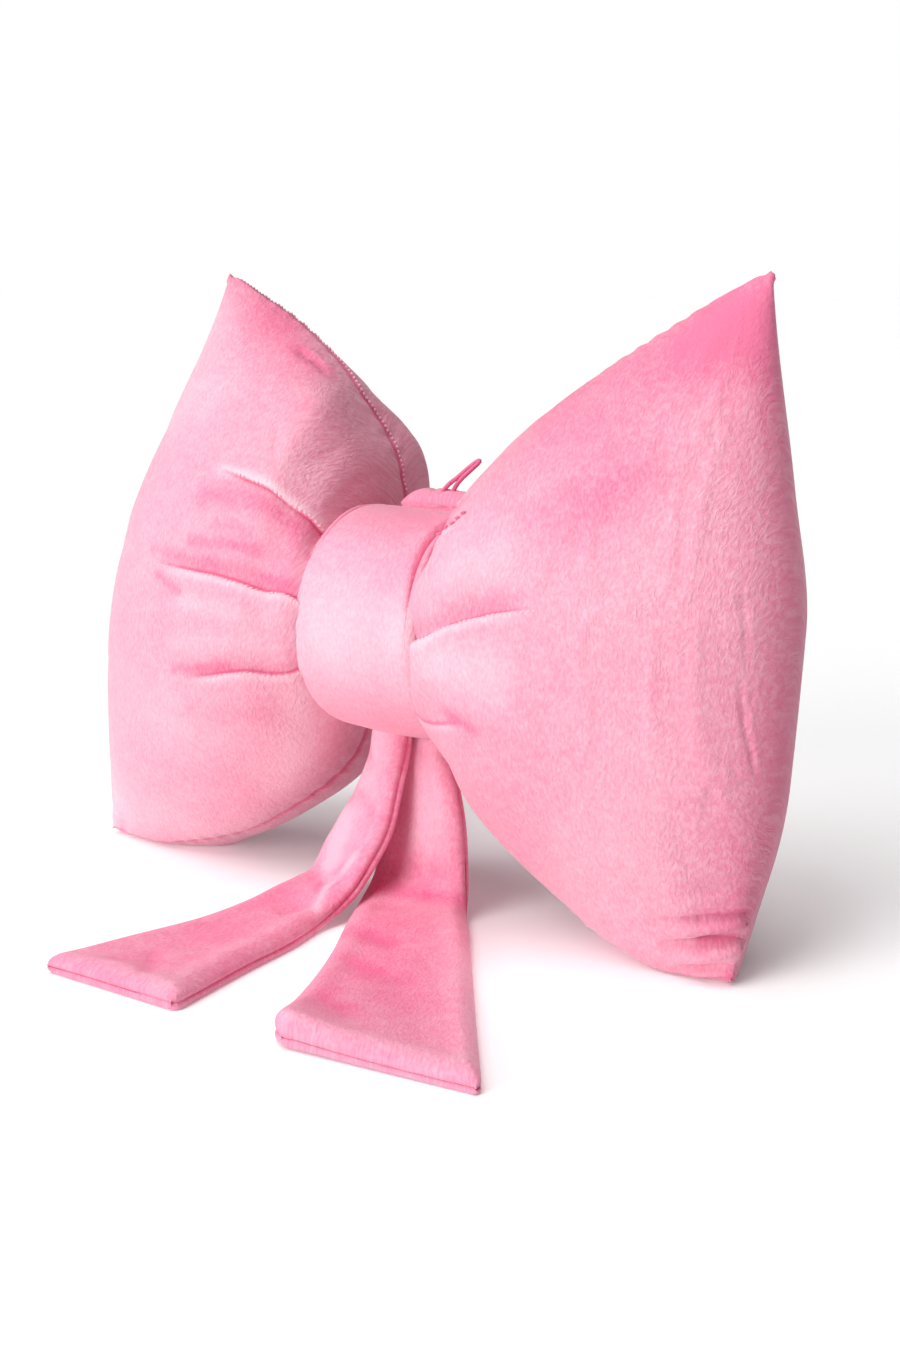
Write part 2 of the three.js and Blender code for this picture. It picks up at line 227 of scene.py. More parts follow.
# %% Sizes of the wings
# depth: half thickness in mm; front, under: how sharply the panels thin out towards the seams,
# under is for the back panel's lower half; upper, lower: how far the back panel bulges past them
SECTION_COLUMNS = ("reach", "depth", "front", "under", "upper", "lower")
SECTIONS = (
    (0.00, 59, 1.00, 1.00, 0.2, 0.10),
    (0.04, 66, 1.00, 1.00, 0.36, 0.16),
    (0.10, 69, 1.05, 1.00, 0.28, 0.20),
    (0.20, 72, 1.15, 0.95, 0.1, 0.16),
    (0.40, 74, 1.35, 0.80, 0.0, 0.12),
    (0.60, 74, 1.50, 0.66, 0.0, 0.26),
    (0.80, 74, 1.50, 0.62, 0.0, 0.40),
    (1.00, 74, 1.50, 0.60, 0.0, 0.40),
)
SEAM_COLUMNS = ("reach", "low", "high", "low_back", "high_back")
FOLD_COLUMNS = ("rise", "out")
WINGS = {
    "wing_left": {
        "side": -1,
        "rim": 42.3,
        "seams": (
            (0.00, 104, 227, 22, 34),
            (0.04, 78, 259, 17, 25),
            (0.10, 62, 276, 12, 19),
            (0.20, 45, 299, 7, 4),
            (0.40, 21, 322, 3, 2),
            (0.60, 8, 339, 0, 1),
            (0.80, 1, 352, 0, 0),
            (1.00, 3, 365, 0, 0),
        ),
        "fold": (
            (-1.0, 227),
            (-0.8, 229),
            (-0.3, 230),
            (0.1, 220.5),
            (0.5, 196),
            (0.8, 179.5),
            (1.0, 173),
        ),
    },
    "wing_right": {
        "side": 1,
        "rim": 35.3,
        "seams": (
            (0.00, 104, 227, 22, 22),
            (0.04, 78, 257, 17, 17),
            (0.10, 64, 270, 12, 13),
            (0.20, 49, 286, 7, 10),
            (0.40, 27, 311, 3, 5),
            (0.60, 9, 330.5, 0, 1),
            (0.80, 0, 350.5, 0, 0),
            (1.00, 3.5, 368, 0, 0),
        ),
        "fold": (
            (-1.0, 219),
            (-0.8, 223),
            (-0.4, 233),
            (0.0, 232),
            (0.4, 217),
            (0.8, 200),
            (1.0, 193),
        ),
    },
}


def columns(names, rows):
    return dict(zip(names, np.array(rows, float).T))


# %% A point of a wing's panels
FOLD_ROUND = 3


def leaning(out, up, behind):
    y = up * math.sin(LEAN) + behind * math.cos(LEAN)
    z = up * math.cos(LEAN) - behind * math.sin(LEAN)
    return np.stack([out + 0 * up, y, z], axis=-1)


def panel_points(wing, reach, degrees, back):
    section = columns(SECTION_COLUMNS, SECTIONS)
    seams = columns(SEAM_COLUMNS, wing["seams"])
    fold = columns(FOLD_COLUMNS, wing["fold"])

    def size(table, name):
        return run(table["reach"], table[name])(reach)

    angle = np.radians(degrees)
    rise = np.sin(angle)
    opening = np.maximum(np.cos(angle), 0)
    belly = back & (rise < 0)
    low, high = size(seams, "low"), size(seams, "high")
    seam_back = np.where(rise > 0, size(seams, "high_back"), size(seams, "low_back")) * rise**2
    round_power = np.where(belly, FOLD_ROUND - FOLD_ROUND * rise, FOLD_ROUND)
    round_end = np.sqrt(np.maximum(1 - reach**round_power, 0))
    sharp = np.where(belly, size(section, "under"), size(section, "front"))
    bulge = np.where(rise < 0, size(section, "lower"), size(section, "upper")) * back
    thick = size(section, "depth") * round_end * opening**sharp
    out = wing["rim"] + (run(fold["rise"], fold["out"])(rise) - wing["rim"]) * reach
    up = (low + high) / 2 + (high - low) / 2 * rise * (1 + bulge * round_end * opening)
    return leaning(wing["side"] * out, up, seam_back + np.where(back, thick, -thick))


half_reach = panel_points(WINGS["wing_left"], *np.array([[0.5], [0.0]]), np.array([False]))
print("front of the left wing at half reach:", half_reach.round(1))

# %% [markdown]
# ## Tucks
#
# The front panels are drawn in by short sewn tucks that run out from the knot. On one side of a
# tuck's line the cloth sinks in a soft trough, and on the other it swells over the stitches in a
# lip. Each row says how the line runs, so that the mesh can have a row of points exactly on it.

# %% Tucks of the front panels
# line: pairs of reach and angle; end: the reach where it ends; groove: how deep its stitches lie;
# trough: 1 if the soft trough lies above the line and -1 below it; soft, width: the trough's depth
# and width; lip: how far the other side swells, all in mm
TUCKS = {
    "wing_left": (
        {"line": ((0, -29), (0.02, -27.8), (0.18, -22.2), (0.43, -21.3), (1, -21)),
         "end": 0.43, "groove": 2.5, "trough": 1, "soft": 1.8, "width": 8, "lip": 0.9},
        {"line": ((0, 3.6), (0.15, 1.6), (0.36, 2.9), (0.64, 2.9), (1, 3)),
         "end": 0.64, "groove": 2.8, "trough": 1, "soft": 2.2, "width": 10, "lip": 1.0},
        {"line": ((0, 37), (0.03, 32.8), (0.07, 30.4), (0.15, 28.5), (0.23, 27.4), (0.32, 26.8),
                  (0.48, 26), (1, 26)),
         "end": 0.48, "groove": 2.8, "trough": -1, "soft": 2.2, "width": 11, "lip": 1.2},
    ),
    "wing_right": (
        {"line": ((0, -43), (0.05, -36), (0.2, -25.4), (0.31, -24), (1, -24)),
         "end": 0.22, "groove": 0.2, "trough": 1, "soft": 0.6, "width": 8, "lip": 0.1},
        {"line": ((0, -9.5), (0.025, -7.4), (0.17, 0.7), (0.33, 4.3), (0.47, 5.6), (1, 6)),
         "end": 0.48, "groove": 3.0, "trough": 1, "soft": 3.2, "width": 14, "lip": 0.9},
        {"line": ((0, 32), (0.04, 32.1), (0.17, 32.5), (1, 32)),
         "end": 0.12, "groove": 1.0, "trough": 1, "soft": 1.0, "width": 6, "lip": 0.4},
    ),
}


def tuck_angle(tuck, reach):
    line = np.array(tuck["line"], float)
    return run(line[:, 0], line[:, 1])(reach)


# %% [markdown]
# ## Panels as grids
#
# Each wing becomes a grid of quads: a row runs round the pouch at one reach, and a column runs out
# from the knot to the fold. Along a row the points are spaced by real distance, and closer
# together near seams and tucks, so the fine relief there has enough points. The grid also keeps
# the distance along each row, which later places tucks, stitches and the nap.

# %% Grid of a wing
REACH_ROWS = 300
SPANS = {"wing_left": (48, 33, 36, 54), "wing_right": (45, 36, 36, 54)}
BACK_SPAN = 96
CROWDING = 0.7
DENSE = 361
REACH_EVENING = 0.9
TINY = 1e-9


def crowded(count):
    t = np.arange(count) / count
    return t - CROWDING * np.sin(2 * math.pi * t) / (2 * math.pi)


def cumulative(points, axis):
    steps = np.linalg.norm(np.diff(points, axis=axis), axis=-1)
    start = np.zeros_like(np.take(steps, [0], axis=axis))
    return np.concatenate([start, np.cumsum(steps, axis=axis)], axis=axis)


def reach_values(wing):
    dense = np.linspace(0, 1, DENSE) ** REACH_EVENING
    line = panel_points(wing, dense, np.zeros(DENSE), np.zeros(DENSE, bool))
    along = cumulative(line, 0)
    return np.interp(np.linspace(0, along[-1], REACH_ROWS + 1), along, dense)


def wing_grid(name):
    wing = WINGS[name]
    reach = reach_values(wing)
    dense = np.broadcast_to(np.linspace(-90, 90, DENSE), (len(reach), DENSE))
    wide_reach = np.broadcast_to(reach[:, None], dense.shape)
    marks = [np.full(len(reach), -90.0)]
    marks += [tuck_angle(tuck, reach) for tuck in TUCKS[name]]
    marks += [np.full(len(reach), 90.0)]
    angles, distance, mark_distance = [], [], []
    for is_back in (False, True):
        along = cumulative(panel_points(wing, wide_reach, dense, np.full(dense.shape, is_back)), 1)
        stops = [marks[0], marks[-1]] if is_back else marks
        spans = (BACK_SPAN,) if is_back else SPANS[name]
        for i in range(len(reach)):
            at = np.interp([stop[i] for stop in stops], dense[i], along[i])
            shares = [at[k] + (at[k + 1] - at[k]) * crowded(n) for k, n in enumerate(spans)]
            row = np.concatenate([*shares, [at[-1]]])
            distance.append(row)
            angles.append(np.interp(row, along[i], dense[i]))
            mark_distance.append(at)
    rows = len(reach)
    front, back = np.array(angles[:rows]), np.array(angles[rows:])[:, ::-1]
    front_run, back_run = np.array(distance[:rows]), np.array(distance[rows:])[:, ::-1]
    degrees = np.concatenate([front, back[:, 1:-1]], axis=1)
    is_back = np.zeros(degrees.shape, bool)
    is_back[:, front.shape[1]:] = True
    wide_reach = np.broadcast_to(reach[:, None], degrees.shape)
    return {
        "points": panel_points(wing, wide_reach, degrees, is_back),
        "reach": wide_reach,
        "degrees": degrees,
        "back": is_back,
        "along": np.concatenate([front_run, back_run[:, 1:-1]], axis=1),
        "marks": np.array(mark_distance[:rows]),
        "front_columns": front.shape[1],
    }


def unit(vectors):
    return vectors / np.maximum(np.linalg.norm(vectors, axis=-1, keepdims=True), TINY)


def grid_normals(points, side):
    down = np.gradient(points, axis=0)
    padded = np.concatenate([points[:, -1:], points, points[:, :1]], axis=1)
    round_ = (padded[:, 2:] - padded[:, :-2]) / 2
    return unit(np.cross(down, round_) * side)


for name in WINGS:
    grid = wing_grid(name)
    print(name, "grid", grid["points"].shape[:2], "low to high seam at the knot and the fold:",
          grid["marks"][0, -1].round(1), grid["marks"][-1, -1].round(1))

# %% [markdown]
# ## Swelling the cloth
#
# Filling presses plush outwards wherever no seam holds it, and small puckers form beside seams
# and tucks. Blender's cloth simulation does just that: the seams are pinned, the cloth gets a
# little spare size, and an inner pressure swells it. Only the small puckers are kept, capped under
# a millimetre, so the outline stays close to the one of the solids.

# %% Mesh from a grid, and a pressure simulation
def grid_faces(rows, around, first=0):
    i, j = np.meshgrid(np.arange(rows - 1), np.arange(around), indexing="ij")
    a = i * around + j
    b = i * around + (j + 1) % around
    return np.stack([a, b, b + around, a + around], axis=-1).reshape(-1, 4) + first


def mesh_object(name, points, faces):
    mesh = bpy.data.meshes.new(name)
    mesh.from_pydata([tuple(p) for p in points], [], [tuple(f) for f in faces])
    mesh.update()
    item = bpy.data.objects.new(name, mesh)
    bpy.context.scene.collection.objects.link(item)
    return item


def points_of(item):
    flat = np.empty(len(item.data.vertices) * 3)
    item.data.vertices.foreach_get("co", flat)
    return flat.reshape(-1, 3)


SWELL_FRAMES = 16


def swollen(name, points, held, pressure, spare):
    """The points of a closed grid after its cloth has swelled, with its held points pinned."""
    rows, around = points.shape[:2]
    faces = [tuple(f) for f in grid_faces(rows, around)]
    faces.append(tuple(range(around)))
    item = mesh_object(name, metres(points.reshape(-1, 3)), faces)
    group = item.vertex_groups.new(name="held")
    group.add(np.flatnonzero(held.ravel()).tolist(), 1.0, "REPLACE")
    cloth = item.modifiers.new("cloth", "CLOTH")
    settings = cloth.settings
    settings.quality = 5
    settings.mass = 0.25
    settings.tension_stiffness = 12
    settings.compression_stiffness = 12
    settings.shear_stiffness = 4
    settings.bending_stiffness = 0.4
    settings.vertex_group_mass = "held"
    settings.pin_stiffness = 3
    settings.shrink_min = -spare
    settings.use_pressure = True
    settings.uniform_pressure_force = pressure
    settings.effector_weights.gravity = 0
    cloth.collision_settings.use_collision = False
    cloth.point_cache.frame_end = SWELL_FRAMES
    for step in range(1, SWELL_FRAMES + 1):
        bpy.context.scene.frame_set(step)
    seen = item.evaluated_get(bpy.context.evaluated_depsgraph_get())
    moved = points_of(seen).reshape(rows, around, 3) / MM - SHIFT
    bpy.data.objects.remove(item)
    bpy.context.scene.frame_set(1)
    return moved


def blurred(field, turns):
    """A grid's field, averaged with its neighbours again and again, where each row is a ring."""
    for _ in range(turns):
        round_ = np.roll(field, 1, axis=1) + np.roll(field, -1, axis=1)
        ends = np.concatenate([field[:1], field, field[-1:]], axis=0)
        field = (2 * field + round_ + ends[:-2] + ends[2:]) / 6
    return field


def stretched(field, rows, around):
    """A coarse grid's field on a finer grid, which has its points on the coarse one's too."""
    down = np.linspace(0, field.shape[0] - 1, rows)
    i = np.clip(down.astype(int), 0, field.shape[0] - 2)
    t = (down - i)[:, None, None]
    field = field[i] * (1 - t) + field[i + 1] * t
    across = np.arange(around) * field.shape[1] / around
    j = across.astype(int)
    t = (across - j)[None, :, None]
    return field[:, j] * (1 - t) + field[:, (j + 1) % field.shape[1]] * t


def capped(field, most):
    length = np.linalg.norm(field, axis=-1, keepdims=True)
    return field * np.minimum(1, most / np.maximum(length, TINY))


PUCKER_BLUR = 12
PUCKER_SHARE, PUCKER_CAP = 0.3, 0.8


def puckered(name, start, held, pressure, spare):
    """The small puckers that the swelling of a coarse grid leaves, without its wide swell."""
    change = swollen(name + "_cloth", start, held, pressure, spare) - start
    puckers = capped(PUCKER_SHARE * (change - blurred(change, PUCKER_BLUR)), PUCKER_CAP)
    print(name, "puckers up to", np.linalg.norm(puckers, axis=-1).max().round(2), "mm")
    return puckers


# %% [markdown]
# ## Relief of the wings
#
# The tucks are pressed into the panels by their distance along the cloth. The cloth on one side
# is folded over the stitches as a small scalloped lip, and sinks away on the other side. Seams
# lie in a narrow groove between puckers. The same function paints shade into the troughs, along
# the stitched lines and into the seams' grooves, and a painted highlight along the lips.

# %% Tuck and seam relief
TUCK_FADE = 0.4
STITCHED_FALL, STITCH_WIDTH = 2.2, 0.9
SCALLOP_PITCH, SCALLOP_SIZE = 3.6, 0.35
SCALLOP_AT, SCALLOP_WIDTH = 1.8, 1.2
LIP_START, LIP_RISE, LIP_FALL = 14.0, 1.6, 7.0
LIP_OVER, LIP_OVER_AT, LIP_OVER_WIDTH, LIP_OVER_MOST = 1.0, 2.2, 1.7, 1.5
# painted shade in the tucks' troughs and along their stitched lines, and a painted highlight on
# their lips
TROUGH_SHADE, TROUGH_AT, TROUGH_WIDTH = 0.14, 0.3, 0.55
LINE_SHADE, LINE_WIDTH = 0.9, 1.2
LIP_HIGHLIGHT, LIP_HIGHLIGHT_AT, LIP_EDGE = 0.55, 2.6, 0.8
# the seams' groove and the painted shade in it
SEAM_DEPTH, SEAM_WIDTH, SEAM_GROOVE_SHADE, SEAM_GROOVE_SHADE_WIDTH = 1.1, 1.7, 0.9, 1.3
SEAM_PUCKER, SEAM_PUCKER_SIZE, SEAM_PUCKER_WIDTH = 13.0, 0.4, 4
PUCKER_DRIFT, DRIFT_LENGTH, CHANGE_LENGTH = 1.3, 23, 31


def hump(distance, width):
    return np.exp(-((distance / width) ** 2))


def tuck_relief(name, grid):
    """How far each point moves out and along its row, in mm, and its painted shade and highlight.
    """
    depth, slide, tone_and_shading = (np.zeros(grid["along"].shape) for _ in range(3))
    column = 0
    for k, (tuck, span) in enumerate(zip(TUCKS[name], SPANS[name]), start=1):
        column += span
        away = grid["along"] - grid["marks"][:, k:k + 1]
        remaining = (tuck["end"] - grid["reach"]) / (TUCK_FADE * tuck["end"])
        fade = smooth_step(remaining) * ~grid["back"]
        trough, lip = away * tuck["trough"], -away * tuck["trough"]
        stitch = cumulative(grid["points"][:, column], 0)[:, None]
        scallop = 1 + SCALLOP_SIZE * np.cos(2 * math.pi * stitch / SCALLOP_PITCH)
        sunk = (tuck["groove"] - tuck["soft"]) * np.exp(-trough / STITCHED_FALL)
        low_side = -sunk - tuck["soft"] * hump(trough, tuck["width"])
        start = smooth_step(stitch / LIP_START)
        high_side = tuck["lip"] * start * (1 - hump(lip, LIP_RISE)) * np.exp(-lip / LIP_FALL)
        high_side += SCALLOP_SIZE * (scallop - 1) * hump(lip - SCALLOP_AT, SCALLOP_WIDTH)
        high_side -= tuck["groove"] * hump(lip, STITCH_WIDTH)
        depth += fade * np.where(trough > 0, low_side, high_side)
        over = LIP_OVER * start * min(tuck["lip"], LIP_OVER_MOST)
        over = over * scallop * hump(lip - LIP_OVER_AT, LIP_OVER_WIDTH) * (lip > 0)
        slide += fade * tuck["trough"] * over
        # painted shade in the trough and on the stitched line, and a painted highlight on the lip
        middle = trough - TROUGH_AT * tuck["width"]
        deeper = TROUGH_SHADE * tuck["soft"] * hump(middle, TROUGH_WIDTH * tuck["width"])
        lip_highlight = LIP_HIGHLIGHT * hump(lip - LIP_HIGHLIGHT_AT, LIP_HIGHLIGHT_AT) * (lip > LIP_EDGE)
        tone_and_shading += fade * deeper * (trough > 0)
        tone_and_shading += fade * (LINE_SHADE * hump(away, LINE_WIDTH) - lip_highlight)
    for seam_at in (0, grid["front_columns"] - 1):
        away = np.linalg.norm(grid["points"] - grid["points"][:, [seam_at]], axis=-1)
        line = cumulative(grid["points"][:, seam_at], 0)[:, None]
        drift = PUCKER_DRIFT * np.sin(line / DRIFT_LENGTH)
        ripple = np.sin(2 * math.pi * line / SEAM_PUCKER + drift) * np.sin(line / CHANGE_LENGTH)
        puckers = SEAM_PUCKER_SIZE * ripple * hump(away - SEAM_PUCKER_WIDTH, SEAM_PUCKER_WIDTH)
        depth += puckers - SEAM_DEPTH * hump(away, SEAM_WIDTH)
        # painted shade in the seam's groove
        tone_and_shading += SEAM_GROOVE_SHADE * hump(away, SEAM_GROOVE_SHADE_WIDTH * SEAM_WIDTH)
    return depth, slide, tone_and_shading


# %% Strokes on a front panel
STROKE_STEPS = 8


def from_segment(places, start, end):
    """The distance of each place to a segment, and how far along it the nearest point is."""
    step = end - start
    t = np.clip(((places - start) @ step) / (step @ step), 0, 1)
    return np.linalg.norm(places - start - t[..., None] * step, axis=-1), t


def stroke_distance(name, grid, row):
    """The distance of each point to a stroke, and how far along the stroke its nearest place is."""
    reach = np.linspace(row["reach_a"], row["reach_b"], STROKE_STEPS + 1)
    angle = np.linspace(row["angle_a"], row["angle_b"], STROKE_STEPS + 1)
    line = panel_points(WINGS[name], reach, angle, np.zeros(len(reach), bool))
    away = np.full(grid["along"].shape, np.inf)
    share = np.zeros(away.shape)
    for k in range(STROKE_STEPS):
        gap, t = from_segment(grid["points"], line[k], line[k + 1])
        nearer = gap < away
        away = np.where(nearer, gap, away)
        share = np.where(nearer, (k + t) / STROKE_STEPS, share)
    return away, share


# %% Soft creases
# Each crease runs between two points given by reach and angle on the front panel. Depth and width
# are in mm, and a depth below zero swells the cloth instead.
STROKE_COLUMNS = ("reach_a", "angle_a", "reach_b", "angle_b", "amount", "width")
CREASES = {
    "wing_left": (
        (0.32, 61.0, 0.03, 58.0, -4.0, 22.0),
        (0.00, 70.0, 0.00, 30.0, -1.5, 12.0),
        (0.00, 30.0, 0.00, -8.0, -5.0, 12.0),
        (0.00, 14.0, 0.01, -70.0, -5.5, 12.0),
        (0.44, 69.0, 0.36, 70.0, 1.8, 2.6),
        (0.40, 71.0, 0.26, 73.0, 1.6, 2.6),
        (0.47, 46.0, 0.40, 50.0, 0.8, 2.6),
        (0.45, 45.0, 0.34, 46.5, 0.8, 2.6),
        (0.45, 45.0, 0.52, 39.0, 0.7, 3.0),
        (0.30, 45.0, 0.22, 36.0, 0.7, 3.0),
        (0.70, 40.0, 0.52, 47.0, 0.7, 5.0),
        (0.66, 24.0, 0.42, 27.0, 0.9, 4.0),
        (0.60, 12.0, 0.30, 13.0, 1.2, 5.0),
        (0.56, -4.0, 0.30, -3.0, 0.9, 4.0),
        (0.62, -10.0, 0.34, -12.0, 0.8, 5.0),
        (0.96, -80.0, 0.90, -72.0, 2.0, 3.0),
        (0.99, -66.0, 0.93, -78.0, 1.6, 3.0),
    ),
    "wing_right": (
        (0.59, 24.0, 0.60, 7.0, 0.4, 2.4),
        (0.53, 22.0, 0.54, 10.0, 0.3, 2.4),
        (0.93, -8.0, 0.955, -20.0, 0.8, 1.8),
        (0.95, -15.0, 0.97, -24.0, 0.7, 1.6),
        (0.955, -9.0, 0.94, -15.0, 0.5, 1.6),
        (0.91, -20.0, 0.95, -24.0, 0.5, 1.6),
        (0.92, 8.0, 0.94, -6.0, 0.5, 2.0),
        (0.82, -64.5, 1.04, -59.5, 8.0, 3.0),
        (0.78, -56.0, 1.04, -52.5, 4.5, 3.2),
        (0.72, -50.0, 0.88, -49.0, 1.2, 4.0),
        (0.86, -47.0, 1.00, -46.0, 1.6, 4.0),
        (0.84, -78.0, 1.00, -71.0, 4.0, 2.6),
        (0.86, -70.0, 1.03, -66.0, -2.0, 4.5),
        (0.00, 34.0, 0.03, 30.5, 1.7, 1.2),
        (0.00, 38.5, 0.035, 35.0, 1.7, 1.2),
        (0.00, 43.0, 0.04, 39.0, 1.7, 1.2),
        (0.03, 45.0, 0.07, 41.0, 1.5, 1.2),
        (0.06, 46.0, 0.105, 42.0, 1.2, 1.2),
        (0.155, -24.4, 0.26, -24.9, 2.0, 4.0),
        (0.00, -22.0, 0.02, -84.0, -9.5, 12.0),
        (0.00, 34.0, 0.00, -8.0, -4.0, 8.0),
    ),
}


CREASE_START, CREASE_PART = 0.08, 0.9
CREASE_PUFF = 0.3


def crease_relief(name, grid):
    depth = np.zeros(grid["along"].shape)
    for values in CREASES[name]:
        row = dict(zip(STROKE_COLUMNS, values))
        away, share = stroke_distance(name, grid, row)
        strength = np.sin(math.pi * np.clip(share * CREASE_PART + CREASE_START, 0, 1))
        puff = CREASE_PUFF * hump(away - 2 * row["width"], row["width"])
        depth += row["amount"] * strength * (puff - hump(away, row["width"]))
    return depth


# %% [markdown]
# Hands and packing leave the nap of plush brushed to and fro. Each stroke below says where it lies
# deeper in colour, or paler where the amount is below zero. Most are wide and soft; a few narrow
# ones are the rubbed streaks between the tucks. Many of the wide ones are painted light instead:
# painted shade over the upper parts and the right wing's outer side, which face away from the
# light, and painted highlights along the left wing's lit outer edge and low near the knot.

# %% Brushed nap and painted light
WING_NAP_AND_SHADE = {
    "wing_left": (
        (1.00, -70, 1.00, 50, -0.45, 28),
        (0.60, -30, 0.30, -34, -0.25, 26),
        (0.20, 58, 0.03, 58, 0.05, 20),
        (0.05, 8, 0.03, 24, 0.30, 12),
        (0.95, 30, 0.70, 40, -0.30, 22),
        (0.10, -60, 0.04, -40, -0.45, 14),
        (0.97, 80, 0.60, 76, 0.50, 20),
        (0.64, 71, 0.34, 66, 0.30, 22),
        (0.44, 69, 0.26, 73, 0.45, 7),
        (0.46, 19, 0.06, 25, 0.42, 7),
        (0.44, 26, 0.10, 29, -0.50, 4),
        (0.44, 9.2, 0.16, 11.4, 0.50, 4),
        (0.62, 5.2, 0.04, 6.4, 0.30, 3.5),
        (0.45, -19.3, 0.24, -19.9, 0.50, 3.5),
        (0.36, 14, 0.20, 15, 0.30, 3),
        (0.57, 0.2, 0.45, -2, 0.55, 3),
        (0.43, -3.8, 0.20, -6, -0.35, 6),
        (0.42, -12.8, 0.14, -13, -0.25, 8),
        (0.38, -30, 0.10, -38, 0.25, 12),
        (0.16, -66, 0.02, -56, -0.60, 18),
        (0.90, -60, 0.60, -66, -0.20, 16),
    ),
    "wing_right": (
        (0.99, 80, 0.88, 60, 0.30, 34),
        (0.90, -62.8, 1.03, -60.0, 0.70, 1.8),
        (0.86, -55.0, 1.03, -52.8, 0.35, 3.0),
        (0.99, -88, 1.00, -80, 0.60, 5),
        (1.00, 50, 1.00, -50, 0.60, 30),
        (0.02, 33, 0.10, 42, 0.40, 4),
        (0.155, -24.4, 0.26, -24.9, 0.5, 3.5),
        (0.85, 66, 0.30, 66, 0.45, 26),
        (0.76, 50, 0.25, 44, 0.30, 24),
        (0.66, 28, 0.40, 24, 0.20, 18),
        (0.16, 16, 0.32, 18, -0.25, 14),
        (0.66, 34, 0.58, 28, 0.30, 26),
        (0.30, -10, 0.08, -10, -0.50, 16),
        (0.93, 48, 0.965, 24, -0.15, 6),
        (0.885, 41, 0.87, 26, -0.12, 5),
        (0.70, -20, 0.60, -40, -0.15, 26),
    ),
}


# The sum of a wing's strokes: brushed nap, painted shade and painted highlights.
def nap_and_shade(name, grid):
    deeper = np.zeros(grid["along"].shape)
    for values in WING_NAP_AND_SHADE[name]:
        row = dict(zip(STROKE_COLUMNS, values))
        away, _ = stroke_distance(name, grid, row)
        deeper += row["amount"] * hump(away, row["width"])
    return deeper


# %% Build the wings
COARSE = 3
HELD_SHARE = 0.9
CALM_REACH = 0.08
TIP_BACK = 5.8
TIP_RADIUS = 2.6
TIP_SLOPE = 0.15
TIP_NEAR, TIP_FADE = 6, 4.8
TIP_ROWS, TIP_SPREAD = slice(-30, -20), 30
DECIMETRE = 100
MERGE_GAP = 2e-6
shaped = {}


def held_points(name, grid):
    held = np.zeros(grid["along"].shape, bool)
    held[[0, -1]] = True
    held[:, [0, grid["front_columns"] - 1]] = True
    column = 0
    for tuck, span in zip(TUCKS[name], SPANS[name]):
        column += span
        held[:, column] |= grid["reach"][:, column] < tuck["end"] * HELD_SHARE
    return held


def build_wing(name):
    grid = wing_grid(name)
    side = WINGS[name]["side"]
    points = grid["points"]
    rows, around = points.shape[:2]
    normal = grid_normals(points, side)
    tucked, slide, tone_and_shading = tuck_relief(name, grid)
    creased = crease_relief(name, grid)
    upwards = unit(np.roll(points, -1, axis=1) - np.roll(points, 1, axis=1))
    start = (points + normal * tucked[..., None])[::COARSE, ::COARSE]
    held = held_points(name, grid)[::COARSE, ::COARSE]
    puckers = puckered(name, start, held, pressure=4, spare=0.02)
    calm = smooth_step((1 - grid["reach"]) / CALM_REACH)[..., None]
    points = points + blurred(stretched(puckers, rows, around), 2) * calm
    points = points + normal * (tucked + creased)[..., None] + upwards * slide[..., None]
    return points, tone_and_shading + nap_and_shade(name, grid), grid


def blunt_tip(points, tip, inward):
    """Rounds the tip where the upper seam meets the fold, as the turned corner of a pouch is."""
    middle = tip + inward * TIP_BACK
    offset = points - middle
    distance = np.maximum(np.linalg.norm(offset, axis=-1, keepdims=True), 1e-6)
    spike = smooth_step(-(offset @ inward) / TIP_RADIUS)[..., None]
    swelled = (distance**3 + TIP_RADIUS**3) ** (1 / 3)
    rounded = np.minimum(swelled, TIP_RADIUS + TIP_SLOPE * np.maximum(distance - TIP_RADIUS, 0))
    near = smooth_step((TIP_NEAR * TIP_RADIUS - distance) / (TIP_FADE * TIP_RADIUS))
    wanted = swelled * (1 - spike) + rounded * spike
    return middle + offset / distance * (distance + (wanted - distance) * near)


def wing_object(name):
    points, tone_and_shading, grid = build_wing(name)
    seam = grid["front_columns"] - 1
    inside = points[TIP_ROWS, seam - TIP_SPREAD:seam + TIP_SPREAD].mean(axis=(0, 1))
    points = blunt_tip(points, points[-1, seam], unit(inside - points[-1, seam]))
    rows, around = points.shape[:2]
    points[..., 2] = np.maximum(points[..., 2], 0)
    shaped[name] = points, grid
    faces = grid_faces(rows, around)
    if WINGS[name]["side"] > 0:
        faces = faces[:, ::-1]
    centre = points[0].mean(axis=0)
    flat = np.concatenate([points.reshape(-1, 3), [centre]])
    hub = rows * around
    ring = [(j, (j + 1) % around, hub) for j in range(around)]
    if WINGS[name]["side"] < 0:
        ring = [(b, a, c) for a, b, c in ring]
    item = mesh_object(name + "_plush", metres(flat), [*faces.tolist(), *ring])
    give_tone_and_shading(item, np.concatenate([tone_and_shading.ravel(), [0]]))
    nap = np.stack([grid["points"][..., 0], grid["along"] - grid["marks"][:, [0]]], axis=-1)
    give_nap(item, nap.reshape(-1, 2))
    merged(item)
    return item


# The point attribute that carries brushed nap, thread tone, and painted shade and highlights.
def give_tone_and_shading(item, values):
    item.data.attributes.new("tone_and_shading", "FLOAT", "POINT").data.foreach_set("value", values)


def give_nap(item, nap):
    """A UV map in decimetres from two distances along the cloth: across the nap, and with it."""
    layer = item.data.uv_layers.new(name="nap")
    corner = np.empty(len(item.data.loops), int)
    item.data.loops.foreach_get("vertex_index", corner)
    nap = np.concatenate([nap, np.zeros((len(item.data.vertices) - len(nap), 2))]) / DECIMETRE
    layer.data.foreach_set("uv", nap[corner].ravel())


